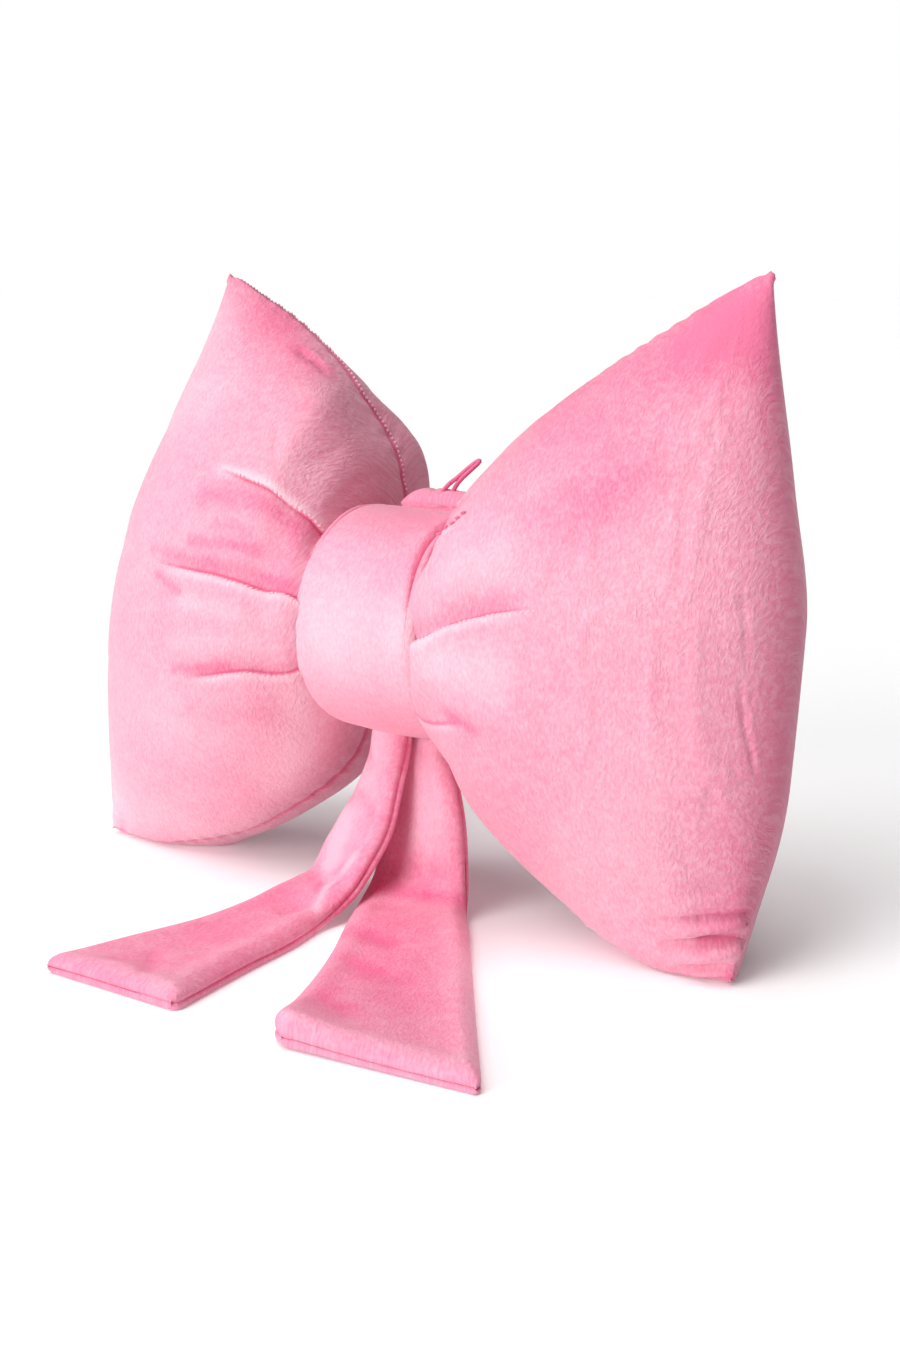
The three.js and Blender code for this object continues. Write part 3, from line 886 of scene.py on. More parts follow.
def merged(item):
    """Merges points that coincide and turns all faces outwards."""
    shape = bmesh.new()
    shape.from_mesh(item.data)
    bmesh.ops.remove_doubles(shape, verts=shape.verts, dist=MERGE_GAP)
    bmesh.ops.dissolve_degenerate(shape, edges=shape.edges, dist=MERGE_GAP)
    bmesh.ops.recalc_face_normals(shape, faces=shape.faces)
    shape.to_mesh(item.data)
    shape.free()
    for polygon in item.data.polygons:
        polygon.use_smooth = True


wings = {name: wing_object(name) for name in WINGS}
for name, item in wings.items():
    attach(item, "root")
    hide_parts(name)
    print(item.name, len(item.data.polygons), "faces")

# %% [markdown]
# ## Stitches
#
# Thread shows in three places: small pale stitches behind the left wing's upper seam, slanted ones
# over the lips of the tucks, and a few deep ones where the right wing is gathered at the knot. One
# ball is stretched along each stitch. The pale and the slanted ones are half sunk in the cloth, and
# the gathering ones stand a little proud of it.

# %% Stitches
BALL_SEGMENTS, BALL_RINGS = 10, 6


def thread(name, places, ahead, out, size, deeper):
    """One mesh of stitches, each with its own place and direction; size is radius and length."""
    select_none()
    bpy.ops.mesh.primitive_uv_sphere_add(segments=BALL_SEGMENTS, ring_count=BALL_RINGS, radius=1)
    ball = bpy.context.active_object
    shape = points_of(ball)
    faces = [tuple(polygon.vertices) for polygon in ball.data.polygons]
    bpy.data.objects.remove(ball)
    radius, length = size
    side = np.cross(out, ahead)
    points = (places[:, None] + shape[None, :, :1] * ahead[:, None] * length / 2
              + shape[None, :, 1:2] * side[:, None] * radius
              + shape[None, :, 2:] * out[:, None] * radius)
    count = len(shape)
    all_faces = [tuple(v + k * count for v in face) for k in range(len(places)) for face in faces]
    item = mesh_object(name, metres(points.reshape(-1, 3)), all_faces)
    give_tone_and_shading(item, np.full(len(item.data.vertices), float(deeper)))
    give_nap(item, np.tile(shape[:, :2] * radius, (len(places), 1)))
    merged(item)
    return item


def beside(name, column, offset):
    """The line on a shaped wing that runs this far from a column, with its directions."""
    points, grid = shaped[name]
    front = slice(grid["front_columns"])
    target = grid["along"][:, column] + offset
    line = np.array([
        [np.interp(target[k], grid["along"][k, front], points[k, front, axis]) for axis in range(3)]
        for k in range(len(points))
    ])
    normal = grid_normals(points, WINGS[name]["side"])[:, column]
    return line, unit(np.gradient(line, axis=0)), unit(normal)


def spaced(line, ahead, out, first, last, pitch):
    """Places at an even pitch along a line, between two distances from the knot."""
    at = cumulative(line, 0)
    stops = np.arange(first, min(last, at[-1]), pitch)
    return [np.stack([np.interp(stops, at, v[:, k]) for k in range(3)], axis=1)
            for v in (line, ahead, out)]


# A stitch is its radius and length. These, the pitches and how far the stitches lie away, first,
# last and proud are in mm. The search is a number of columns, and the slants are shares.
SEAM_STITCH, SEAM_PITCH, SEAM_STITCH_DEEPER = (0.75, 2.0), 2.9, -2.2
SEAM_AWAY, SEAM_FIRST, SEAM_LAST, SEAM_SEARCH = 2.4, 14, 205, 20
LIP_STITCH, LIP_PITCH, LIP_STITCH_DEEPER = (0.5, 2.2), 3.1, -0.7
LIP_AWAY, LIP_FIRST, LIP_SHARE, LIP_SLANT = 1.5, 6, 0.85, 0.8
LIP_STITCHED = 0.8
GATHER_STITCH, GATHER_DEEPER, GATHER_PROUD, GATHER_SLANT = (0.8, 5.0), 1.2, 0.8, 0.6
# reach and angle of each gathering stitch
GATHERS = ((0.05, 30.5), (0.07, 31.5), (0.09, 32.5), (0.11, 33.2), (0.13, 33.8))


def seam_stitches(name):
    points, grid = shaped[name]
    seam = grid["front_columns"] - 1
    near = points[:, seam + 1:seam + SEAM_SEARCH] - points[:, [seam]]
    beyond = seam + 1 + np.argmin(np.abs(np.linalg.norm(near, axis=-1) - SEAM_AWAY), axis=1)
    rows = np.arange(len(points))
    line = points[rows, beyond]
    ahead = unit(np.gradient(line, axis=0))
    normal = grid_normals(points, WINGS[name]["side"])[rows, beyond]
    places, ahead, out = spaced(line, ahead, normal, SEAM_FIRST, SEAM_LAST, SEAM_PITCH)
    return thread("seam_stitches", places, unit(ahead), unit(out), SEAM_STITCH, SEAM_STITCH_DEEPER)


def tuck_stitches(name):
    parts = []
    column = 0
    for tuck, span in zip(TUCKS[name], SPANS[name]):
        column += span
        if tuck["lip"] < LIP_STITCHED:
            continue
        line, ahead, out = beside(name, column, -tuck["trough"] * LIP_AWAY)
        last = tuck["end"] * cumulative(line, 0)[-1] * LIP_SHARE
        parts.append(spaced(line, ahead, out, LIP_FIRST, last, LIP_PITCH))
    places, ahead, out = (np.concatenate(part) for part in zip(*parts))
    slant = unit(unit(ahead) + LIP_SLANT * np.cross(unit(out), unit(ahead)))
    title = name + "_tuck_stitches"
    return thread(title, places, slant, unit(out), LIP_STITCH, LIP_STITCH_DEEPER)


def gather_stitches(name):
    points, grid = shaped[name]
    normal = grid_normals(points, WINGS[name]["side"])
    reach, angle = np.array(GATHERS, float).T
    spots = panel_points(WINGS[name], reach, angle, np.zeros(len(GATHERS), bool))
    gaps = [np.linalg.norm(grid["points"] - spot, axis=-1) for spot in spots]
    found = [np.unravel_index(gap.argmin(), gap.shape) for gap in gaps]
    out = unit(np.array([normal[k] for k in found]))
    places = np.array([points[k] for k in found]) + GATHER_PROUD * out
    ahead = unit(np.gradient(places, axis=0))
    slant = unit(ahead - GATHER_SLANT * np.cross(out, ahead))
    return thread("gather_stitches", places, slant, out, GATHER_STITCH, GATHER_DEEPER)


stitches = [seam_stitches("wing_left"), *map(tuck_stitches, WINGS), gather_stitches("wing_right")]
for item in stitches:
    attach(item, "root")
    print(item.name, len(item.data.polygons), "faces")

# %% [markdown]
# ## The knot
#
# A padded band of the same plush wraps the gathered middle. Its long edges are turned in and
# sewn to the wings, which leaves a narrow roll along each rim. The band is a grid too: one
# profile across its width, with the rolls, is carried round the oval.

# %% Knot band
ROLL_RADIUS = 2.1
ROLL_SINK, LEFT_SINK = 1.6, 0.0
EDGE_RADIUS = 4.0
PLAIN_RADIUS = 7.0
SIDE_DEPTH = 12.0
RIM_SHIFT, RIM_SOFT = 4.5, 20.0
LEFT_SHIFT = 5.0
TOP_CROWN, TOP_CROWN_TURN = 0.1, math.radians(55)
TOP_SINK, TOP_SINK_TURN = 2.4, math.radians(40)
BAND_AROUND = 288
ROLL_STEPS, MIDDLE_STEPS = 11, 61
SIDE_GAP = 4
TOP_TURN = math.radians(80)
RIGHT_ROLL_REACH, LEFT_ROLL_REACH = math.radians(102), math.radians(66)
TUCKED_FROM, TURN_FADE = math.radians(45), math.radians(50)


def round_over(away, radius):
    """How far an edge of this radius falls off at a distance from the edge."""
    return radius - np.sqrt(np.maximum(radius**2 - np.maximum(radius - away, 0) ** 2, 0))


def band_profile():
    """Points across the band: x, how far the cloth lies inside the oval, and the same unrolled."""
    roll = np.linspace(math.pi, 0, ROLL_STEPS)
    left_roll = np.stack([
        KNOT_LEFT + ROLL_RADIUS + ROLL_RADIUS * np.cos(roll),
        LEFT_SINK + ROLL_RADIUS - ROLL_RADIUS * np.sin(roll),
    ], axis=1)
    edge = 2 * ROLL_RADIUS
    half = (KNOT_RIGHT - KNOT_LEFT) / 2 - edge
    x = -half * np.cos(np.linspace(0, math.pi, MIDDLE_STEPS))
    fall = round_over(half - np.abs(x), EDGE_RADIUS)
    crown = KNOT_CROWN * np.cos(math.pi / 2 * x / (half + edge))
    middle = np.stack([x + (KNOT_LEFT + KNOT_RIGHT) / 2, fall - crown], axis=1)
    right_roll = left_roll[::-1] * (-1, 1) + (KNOT_LEFT + KNOT_RIGHT, ROLL_SINK - LEFT_SINK)
    side = np.array([[KNOT_LEFT, SIDE_DEPTH], [KNOT_LEFT, ROLL_SINK + ROLL_RADIUS + SIDE_GAP]])
    other = side[::-1] * (-1, 1) + (KNOT_LEFT + KNOT_RIGHT, 0)
    rolled = np.concatenate([side, left_roll, middle[1:-1], right_roll, other])
    x = rolled[:, 0] - (KNOT_LEFT + KNOT_RIGHT) / 2
    half += edge
    plain = round_over(half - np.abs(x), PLAIN_RADIUS) - KNOT_CROWN * np.cos(math.pi / 2 * x / half)
    plain = np.where(np.abs(x) < half - 1e-6, plain, rolled[:, 1])
    return rolled[:, 0], rolled[:, 1], plain


def turned(turn, middle):
    """How far each turn lies from a middle one, at most half a turn either way."""
    return (turn - middle + math.pi) % (2 * math.pi) - math.pi


def band_points():
    """The band's points, the turn of each column (0 behind, 90 degrees on top), and its roll."""
    x, rolled, plain = band_profile()
    turn = 2 * math.pi * np.arange(BAND_AROUND) / BAND_AROUND
    from_top = np.abs(turned(turn, TOP_TURN))
    roll_reach = np.where(x > 0, RIGHT_ROLL_REACH, LEFT_ROLL_REACH)[:, None]
    roll = smooth_step((roll_reach - from_top) / TURN_FADE)
    tucked_in = RIM_SHIFT * smooth_step((from_top - TUCKED_FROM) / TURN_FADE)
    x = x[:, None]
    x = (x + tucked_in * smooth_step((x - KNOT_RIGHT) / RIM_SOFT + 1)
         - LEFT_SHIFT / RIM_SHIFT * tucked_in * smooth_step((KNOT_LEFT - x) / RIM_SOFT + 1))
    inside = rolled[:, None] * roll + plain[:, None] * (1 - roll)
    crown = KNOT_CROWN * np.cos(math.pi / 2 * np.clip(2 * x / (KNOT_RIGHT - KNOT_LEFT), -1, 1))
    inside = inside + (1 - TOP_CROWN) * crown * hump(from_top, TOP_CROWN_TURN)
    inside = inside + TOP_SINK * hump(from_top, TOP_SINK_TURN)
    y = KNOT_Y + (KNOT_DEEP - inside) * np.cos(turn)
    z = KNOT_Z + (KNOT_TALL - inside) * np.sin(turn)
    return np.stack([x + 0 * y, y, z], axis=-1), turn, roll


def closed_piece(name, points, nap, tone_and_shading=None):
    """A smooth closed piece from a grid whose first and last rows are covered by a fan each."""
    rows, around = points.shape[:2]
    flat = [points.reshape(-1, 3), [points[0].mean(axis=0)], [points[-1].mean(axis=0)]]
    faces = grid_faces(rows, around).tolist()
    first, last = rows * around, rows * around + 1
    base = (rows - 1) * around
    for j in range(around):
        k = (j + 1) % around
        faces.append((first, k, j))
        faces.append((last, base + j, base + k))
    item = mesh_object(name, metres(np.concatenate(flat)), faces)
    values = np.zeros(len(item.data.vertices))
    if tone_and_shading is not None:
        values[:rows * around] = tone_and_shading.ravel()
    give_tone_and_shading(item, values)
    give_nap(item, nap.reshape(-1, 2))
    merged(item)
    return item


# brushed nap and painted light on the knot: painted shade on top and low in front, and painted
# highlights across the front where the light falls; turn in degrees and its width, place across
# in mm and its width, and how much deeper
KNOT_NAP_AND_SHADE = (
    (105, 32, 10, 60, 0.75),
    (175, 30, 30, 14, -0.50),
    (183, 24, -12, 30, -0.60),
    (150, 14, 25, 14, 0.35),
    (240, 24, 0, 50, 0.30),
)
BAND_HELD = 4
GROOVE_SHADE_WIDTH = 1.6


def make_knot():
    points, turn, roll = band_points()
    rows, around = points.shape[:2]
    coarse = points[2:-2:COARSE, ::COARSE]
    held = np.zeros(coarse.shape[:2], bool)
    held[:BAND_HELD] = True
    held[-BAND_HELD:] = True
    puckers = puckered("knot", coarse, held, pressure=3, spare=0.03)
    points[2:-2] += stretched(puckers, rows - 4, around)
    x = band_profile()[0][:, None]
    # painted shade in the grooves inside the rim rolls
    left_groove_shade = hump(x - KNOT_LEFT - 2 * ROLL_RADIUS, GROOVE_SHADE_WIDTH)
    right_groove_shade = hump(x - KNOT_RIGHT + 2 * ROLL_RADIUS, GROOVE_SHADE_WIDTH)
    tone_and_shading = (left_groove_shade + right_groove_shade) * roll
    for middle, width, across, spread, deeper in KNOT_NAP_AND_SHADE:
        away = np.degrees(turned(turn, math.radians(middle)))
        tone_and_shading += deeper * hump(away, width) * hump(x - across, spread)
    nap = np.stack(np.broadcast_arrays(points[..., 0], KNOT_TALL * turn[None, :]), axis=-1)
    return closed_piece("knot_plush", points, nap, tone_and_shading)


knot = make_knot()
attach(knot, "root")
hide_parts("knot")
print(knot.name, len(knot.data.polygons), "faces")

# %% [markdown]
# Behind the knot the band's end laps over its start. Only its upper edge shows from the front,
# as a soft roll with a crease in it, so the lap is a flat arc of cloth with blunt edges.

# %% Lapped end of the band
LAP_PROUD, LAP_FOOT = 10.5, 5.0
LAP_LEFT, LAP_RIGHT = -23.0, 27.0
LAP_TOP, LAP_BOTTOM = 79.0, -48.0
LAP_END, LAP_SIDE = 14, 0.5
# place across, depth and width of each fold in the lap's upper edge
LAP_FOLDS = ((-6.0, 2.6, 2.0), (11.0, 1.0, 5.0))
LAP_FOLD_FADE = 4
LAP_DEEPER = 0.7
LAP_ROWS, LAP_AROUND = 90, 96


def make_lap():
    share = (1 - np.cos(np.linspace(0, math.pi, LAP_ROWS))) / 2
    angle = np.radians(LAP_TOP + (LAP_BOTTOM - LAP_TOP) * share)[:, None]
    end = np.sqrt(np.maximum(1 - np.abs(2 * share - 1) ** LAP_END, 0))[:, None]
    turn = 2 * math.pi * (np.arange(LAP_AROUND) + 0.5)[None, :] / LAP_AROUND
    across = np.sign(np.cos(turn)) * np.abs(np.cos(turn)) ** LAP_SIDE
    x = (LAP_RIGHT + LAP_LEFT) / 2 + (LAP_RIGHT - LAP_LEFT) / 2 * across
    proud = LAP_PROUD + (LAP_FOOT - LAP_PROUD) * share[:, None] + KNOT_CROWN
    thick = proud * end * np.sin(turn)
    folds = sum(depth * hump(x - fold, width) for fold, depth, width in LAP_FOLDS)
    thick = thick - folds * np.exp(-share[:, None] * LAP_FOLD_FADE) * (np.sin(turn) > 0) * end
    y = KNOT_Y + (KNOT_DEEP + thick) * np.cos(angle)
    z = KNOT_Z + (KNOT_TALL + thick) * np.sin(angle)
    points = np.stack(np.broadcast_arrays(x, y, z), axis=-1)
    nap = np.stack(np.broadcast_arrays(x, KNOT_TALL * angle), axis=-1)
    return closed_piece("knot_lap", points, nap, np.full(points.shape[:2], LAP_DEEPER))


lap = make_lap()
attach(lap, "root")
print(lap.name, len(lap.data.polygons), "faces")

# %% [markdown]
# ## The ties
#
# A tie is two layers of plush, sewn together along their edges and turned, with thin wadding. It
# is cut wider towards its end. The upper layer swells over the seam in a broad roll, and the lower
# one in a thin roll under it. The rows of each table are the places of its two edges, from the
# knot down to the floor and forward on it.

# %% Routes of the ties
TIE_THICK = 11.5
TIES = {
    "tail_left": (
        ((-22, 19, 112), (3, 15, 112)),
        ((-23, 17, 92), (5, 9, 92)),
        ((-25, 14, 74), (9, -5, 74)),
        ((-33, 7, 53), (11, -18, 50)),
        ((-43, 1, 31), (8, -28, 35)),
        ((-49, -8, 13), (1, -38, 18)),
        ((-56, -40, 6), (-3, -58, 7)),
        ((-54, -74, 5.5), (1, -87, 5.5)),
        ((-65, -131, 5.5), (3, -130, 5.5)),
        ((-86, -188, 5.5), (8, -187, 5.5)),
    ),
    "tail_right": (
        ((-5, 29, 112), (23, 29, 112)),
        ((-6, 26, 92), (25, 25, 92)),
        ((-7, 17, 75), (35, 16, 75)),
        ((-7, 10, 55), (44, 9, 55)),
        ((-9, 5, 35), (48, 6, 35)),
        ((-9, -3, 16), (51, 3, 18)),
        ((-4, -22, 7), (55, -2, 7)),
        ((11, -55, 5.5), (72, -24, 5.5)),
        ((33, -96, 5.5), (100, -62, 5.5)),
        ((55, -147, 6), (141, -118, 5.5)),
        ((71, -190, 7), (184, -176, 5.5)),
    ),
}


def through(stops, count):
    """A smooth line of this many points through the stops, which keeps close to them at bends."""
    stops = np.array(stops, float)
    padded = np.concatenate([[2 * stops[0] - stops[1]], stops, [2 * stops[-1] - stops[-2]]])
    gaps = np.sqrt(np.linalg.norm(np.diff(padded, axis=0), axis=1))
    at = np.linspace(0, len(stops) - 1, count)
    i = np.minimum(at.astype(int), len(stops) - 2)
    t = (at - i)[:, None]
    before, here, after, later = (padded[i + k] for k in range(4))
    g0, g1, g2 = (gaps[i + k][:, None] for k in range(3))
    leave = ((here - before) / g0 - (after - before) / (g0 + g1) + (after - here) / g1) * g1
    reach = ((after - here) / g1 - (later - here) / (g1 + g2) + (later - after) / g2) * g1
    cubic = 2 * here - 2 * after + leave + reach
    square = -3 * here + 3 * after - 2 * leave - reach
    return here + leave * t + square * t * t + cubic * t**3


# %% [markdown]
# The dents of the ties are strokes as on the wings, but placed by how far along and across the
# tie they lie: 0 is the knot or the left edge, 1 the cut end or the right edge.

# %% Dents of the ties
DENT_COLUMNS = ("along_a", "across_a", "along_b", "across_b", "amount", "width")
DENTS = {
    "tail_left": (
        (0.10, 0.00, 0.13, 0.30, 2.6, 5.0),
        (0.22, 0.10, 0.26, 0.70, 0.9, 5.0),
        (0.12, 0.75, 0.30, 0.78, 1.3, 4.0),
        (0.40, 0.02, 0.42, 0.40, 1.6, 4.0),
        (0.42, 0.60, 0.36, 0.98, 1.4, 4.0),
        (0.50, 0.80, 0.56, 0.60, 1.8, 6.0),
        (0.88, 0.45, 0.95, 0.66, 1.6, 6.0),
        (0.94, 0.36, 0.91, 0.50, 1.0, 5.0),
        (0.70, 0.30, 0.80, 0.45, 0.7, 9.0),
    ),
    "tail_right": (
        (0.31, 0.15, 0.30, 0.90, 1.8, 8.0),
        (0.40, 0.05, 0.42, 0.50, 0.8, 7.0),
        (0.54, 0.10, 0.58, 0.40, 1.2, 10.0),
        (0.70, 0.25, 0.73, 0.50, 1.2, 10.0),
        (0.84, 0.10, 0.90, 0.30, 1.3, 10.0),
        (0.80, 0.60, 0.90, 0.72, 0.8, 14.0),
        (0.55, 0.75, 0.66, 0.80, 0.7, 12.0),
    ),
}
# Where the nap of the ties is brushed deeper, or paler below zero, placed as the dents are. Some
# are painted light: painted highlights on the left tie's hanging part, on the right tie's top near
# the knot and along the cut ends, and a band of painted shade across the right tie's bend.
TIE_NAP_AND_SHADE = {
    "tail_left": (
        (0.02, 0.40, 0.36, 0.45, -0.50, 18.0),
        (0.06, 0.40, 0.16, 0.30, -0.40, 9.0),
        (0.20, 0.35, 0.22, 0.80, 0.45, 4.0),
        (0.27, 0.25, 0.36, 0.40, -0.80, 9.0),
        (0.33, 0.85, 0.42, 0.70, -0.80, 4.0),
        (0.42, 0.72, 0.50, 0.93, -0.80, 3.5),
        (0.40, 0.30, 0.44, 0.66, 0.35, 5.0),
        (0.36, 0.72, 0.42, 0.92, 0.40, 5.0),
        (0.50, 0.20, 0.72, 0.45, 0.30, 22.0),
        (0.96, 0.10, 0.98, 0.90, -0.20, 9.0),
    ),
    "tail_right": (
        (0.06, 0.50, 0.22, 0.55, -0.65, 18.0),
        (0.35, 0.10, 0.36, 0.95, 0.50, 8.0),
        (0.54, 0.06, 0.58, 0.36, 0.35, 8.0),
        (0.67, 0.12, 0.71, 0.34, 0.30, 8.0),
        (0.75, 0.08, 0.80, 0.18, 0.30, 7.0),
        (0.38, 0.30, 0.44, 0.75, -0.25, 9.0),
        (0.52, 0.30, 0.80, 0.55, 0.45, 26.0),
        (0.84, 0.15, 0.88, 0.28, 0.35, 9.0),
        (0.98, 0.10, 0.98, 0.90, -0.20, 9.0),
        (0.60, 0.97, 0.95, 0.97, -0.30, 6.0),
    ),
}
# how thick the lower layer is, the roll of the upper one, the radius of each front corner, and
# the places that are stuffed fuller: along, across, how much more, and how wide in mm
TIE_SHAPES = {
    "tail_left": {
        "lower": 4.4, "roll": 8.0, "corners": (5.0, 6.0),
        "fuller": ((0.98, 0.0, -0.10, 30), (0.60, 0.9, 0.06, 40), (0.80, 0.4, -0.06, 30)),
    },
    "tail_right": {
        "lower": 3.4, "roll": 9.0, "corners": (13.0, 5.0),
        "fuller": ((0.98, 0.03, 0.42, 26), (0.99, 0.75, -0.10, 40), (0.80, 0.5, -0.08, 30)),
    },
}
TIE_ROWS, EDGE_STEPS = 150, 1200
FACE_POINTS = 40
ROLL_POINTS = 13
UNDER_ROLL = 0.75
CORNER_FLOOR = 0.12
TIE_UNEVEN = 0.05
SEAM_TURN = math.radians(-30)
# painted shade in the seam's crevice: how much deeper the rows of points nearest the seam are,
# and what share of it the cut end has
TIE_SEAM_SHADE, TIE_END_SHADE = (0.4, 0.2, 0.05), 0.25
PUFF, PUFF_AT, PUFF_WIDTH = 1.0, 9, 6
# how far from an edge the dents fade out in mm, and the share of their depth painted deeper as
# shade in them
DENT_MARGIN, DENT_SHADE = 5, 0.12


# %% Shape of a tie
def edge_roll(shape, turn):
    """The rolls of both layers at an edge: how far in, and the heights of the upper and lower
    one as shares of their layers' thickness over and under the seam."""
    inward = shape["roll"] * (1 - np.cos(turn))
    upper = (np.sin(turn) - math.sin(SEAM_TURN)) / (1 - math.sin(SEAM_TURN))
    radius = UNDER_ROLL * shape["lower"]
    under = np.sign(turn) * np.arccos(np.maximum(1 - inward / radius, 0))
    seam = -math.acos(1 - shape["roll"] * (1 - math.cos(SEAM_TURN)) / radius)
    lower = (np.sin(under) - math.sin(seam)) / (1 - math.sin(seam))
    return inward, upper, lower


def tie_rows(stops, shape):
    """Both edges of a tie at even steps, with the steps of its rounded end added."""
    left, right = (through([row[k] for row in stops], EDGE_STEPS) for k in range(2))
    along = cumulative((left + right) / 2, 0)
    from_end, upper, lower = edge_roll(shape, np.linspace(math.pi / 2, SEAM_TURN, ROLL_POINTS))
    straight = np.linspace(0, along[-1] - from_end[0], TIE_ROWS)
    at = np.concatenate([straight[:-1], along[-1] - from_end])
    whole = np.ones(TIE_ROWS - 1)

    def line(edge):
        return np.stack([np.interp(at, along, edge[:, k]) for k in range(3)], axis=1)

    heights = np.concatenate([whole, upper]), np.concatenate([whole, lower])
    return line(left), line(right), heights, at, along[-1]


def tie_section(shape, width, upper_end, lower_end):
    """Round a tie: how far from the left edge in mm, and how high as a share of its thickness."""
    inward, upper, lower = edge_roll(shape, np.linspace(SEAM_TURN, math.pi / 2, ROLL_POINTS))
    seam = shape["lower"] / TIE_THICK
    face = np.linspace(inward[-1], width - inward[-1], FACE_POINTS)[1:-1]
    out = np.concatenate([inward, face, width - inward[::-1]])
    flat = np.ones(len(face))
    upper = seam + (1 - seam) * upper_end * np.concatenate([upper, flat, upper[::-1]])
    lower = seam - seam * lower_end * np.concatenate([lower, flat, lower[::-1]])
    return np.concatenate([out, out[::-1]]), np.concatenate([upper, lower[::-1]])


def make_tie(name):
    shape = TIE_SHAPES[name]
    left, right, heights, at, length = tie_rows(TIES[name], shape)
    across = right - left
    width = np.linalg.norm(across, axis=1)
    ahead = np.gradient((left + right) / 2, axis=0)
    ahead[-ROLL_POINTS:] = ahead[-ROLL_POINTS - 2]
    face = unit(np.cross(ahead, across))
    corners = [round_over(np.maximum(length - at, CORNER_FLOOR * r), r) for r in shape["corners"]]
    inward, high = [], []
    for full, from_left, from_right, upper, lower in zip(width, *corners, *heights):
        out, up = tie_section(shape, full - (from_left + from_right), upper, lower)
        inward.append(out + from_left)
        high.append(up)
    shares = np.array(inward) / width[:, None]
    far = np.repeat((at / length)[:, None], shares.shape[1], axis=1)
    uneven = np.sin(17 * far + 3 * shares) * np.sin(5 * shares + 9 * far)
    thick = TIE_THICK * (1 + TIE_UNEVEN * uneven)
    for along_at, across_at, more, spread in shape["fuller"]:
        gap = np.hypot((far - along_at) * length, (shares - across_at) * width[:, None])
        thick += TIE_THICK * more * hump(gap, spread)
    up = np.array(high) * thick - TIE_THICK / 2
    points = left[:, None] + across[:, None] * shares[..., None] + face[:, None] * up[..., None]
    half = shares.shape[1] // 2
    top = np.zeros(shares.shape, bool)
    top[:, :half] = True
    depth, tone_and_shading = tie_relief(name, shares, far, top, width, length)
    # painted shade along the seams and the cut end
    for k, shade in enumerate(TIE_SEAM_SHADE):
        tone_and_shading[:, [k, half - 1 - k, half + k, 2 * half - 1 - k]] += shade
        tone_and_shading[-1 - k] += TIE_END_SHADE * shade
    outward = np.where(top, 1, -1)[..., None] * face[:, None]
    points = points - outward * depth[..., None]
    points[..., 2] = np.maximum(points[..., 2], 0)
    nap = np.stack([shares * width[:, None], far * length], axis=-1)
    print(name, "length", round(length), "mm, width", round(width[0]), "to", round(width[-1]), "mm")
    item = closed_piece(name + "_plush", points, nap, tone_and_shading)
    return item, float(width.mean()), float(width.max()), float(length)


def tie_strokes(rows, shares, far, width, length):
    """The sum of the strokes' amounts over a tie."""
    def flat_place(along, across):
        wide = np.interp(along, far[:, 0], width)
        return np.array([along * length, (across - 0.5) * wide])

    total = np.zeros(shares.shape)
    places = np.stack([far * length, (shares - 0.5) * width[:, None]], axis=-1)
    for values in rows:
        row = dict(zip(DENT_COLUMNS, values))
        start = flat_place(row["along_a"], row["across_a"])
        away, _ = from_segment(places, start, flat_place(row["along_b"], row["across_b"]))
        total += row["amount"] * hump(away, row["width"])
    return total


def tie_relief(name, shares, far, top, width, length):
    depth = tie_strokes(DENTS[name], shares, far, width, length) * top
    edge = np.minimum(shares, 1 - shares) * width[:, None]
    near_edge = np.minimum(edge, (1 - far) * length)
    puff = PUFF * hump(near_edge - PUFF_AT, PUFF_WIDTH) * top
    depth = (depth - puff) * smooth_step(near_edge / DENT_MARGIN)
    tone_and_shading = tie_strokes(TIE_NAP_AND_SHADE[name], shares, far, width, length)
    # painted shade in the dents
    return depth, tone_and_shading + DENT_SHADE * depth


ties = {}
for name in TIES:
    item, mean_width, full_width, length = make_tie(name)
    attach(item, "root")
    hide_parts(name)
    ties[name] = item

# %% [markdown]
# ## The hanging loop
#
# A narrow strip, folded on itself, is caught in the lapped end. Its two strands lie side by side,
# and one stands off a little near the seat. One line goes up one strand and down the other, and
# a small oval section is carried along it.

# %% Hanging loop
LOOP_STOPS = (
    (1, 50, 222), (2, 50, 232), (6, 51.2, 237.8), (11.5, 53.5, 243),
    (17, 56, 248.4), (20.5, 57.5, 251.7), (22, 58, 253),
)
STRAND_APART = 1.1
STRAND_WIDE, STRAND_THICK = 1.25, 1.7
STRAND_SIDES, LOOP_STEPS = 14, 61
# where the strands part a little, how far the first then stands aside and back, and how far the
# other stands forward
SLACK_AT, SLACK_LENGTH = 0.30, 0.13
SLACK_ASIDE, SLACK_UP, SLACK_DOWN = 1.9, 1.3, 0.6
BACKWARD = np.array([0.0, 1.0, 0.0])


def make_loop():
    middle = through(LOOP_STOPS, LOOP_STEPS)
    ahead = unit(np.gradient(middle, axis=0))
    away = unit(np.cross(BACKWARD, ahead))
    deep = np.cross(ahead, away)
    share = np.linspace(0, 1, len(middle))
    narrow = np.sqrt(np.maximum(1 - share**3, 0))[:, None]
    slack = hump(share - SLACK_AT, SLACK_LENGTH)[:, None]
    up = middle + away * (STRAND_APART * narrow + SLACK_ASIDE * slack) + deep * SLACK_UP * slack
    down = middle - away * STRAND_APART * narrow - deep * SLACK_DOWN * slack
    line = np.concatenate([up, down[::-1][1:]])
    ahead = unit(np.gradient(line, axis=0))
    deep = unit(BACKWARD - ahead * ahead[:, 1:2])
    wide = np.cross(ahead, deep)
    turn = 2 * math.pi * np.arange(STRAND_SIDES) / STRAND_SIDES
    points = (line[:, None] + wide[:, None] * (STRAND_WIDE * np.cos(turn))[None, :, None]
              + deep[:, None] * (STRAND_THICK * np.sin(turn))[None, :, None])
    along = cumulative(line, 0)
    nap = np.stack(np.broadcast_arrays((2 * turn)[None, :], along[:, None]), axis=-1)
    return closed_piece("hang_loop_strip", points, nap)


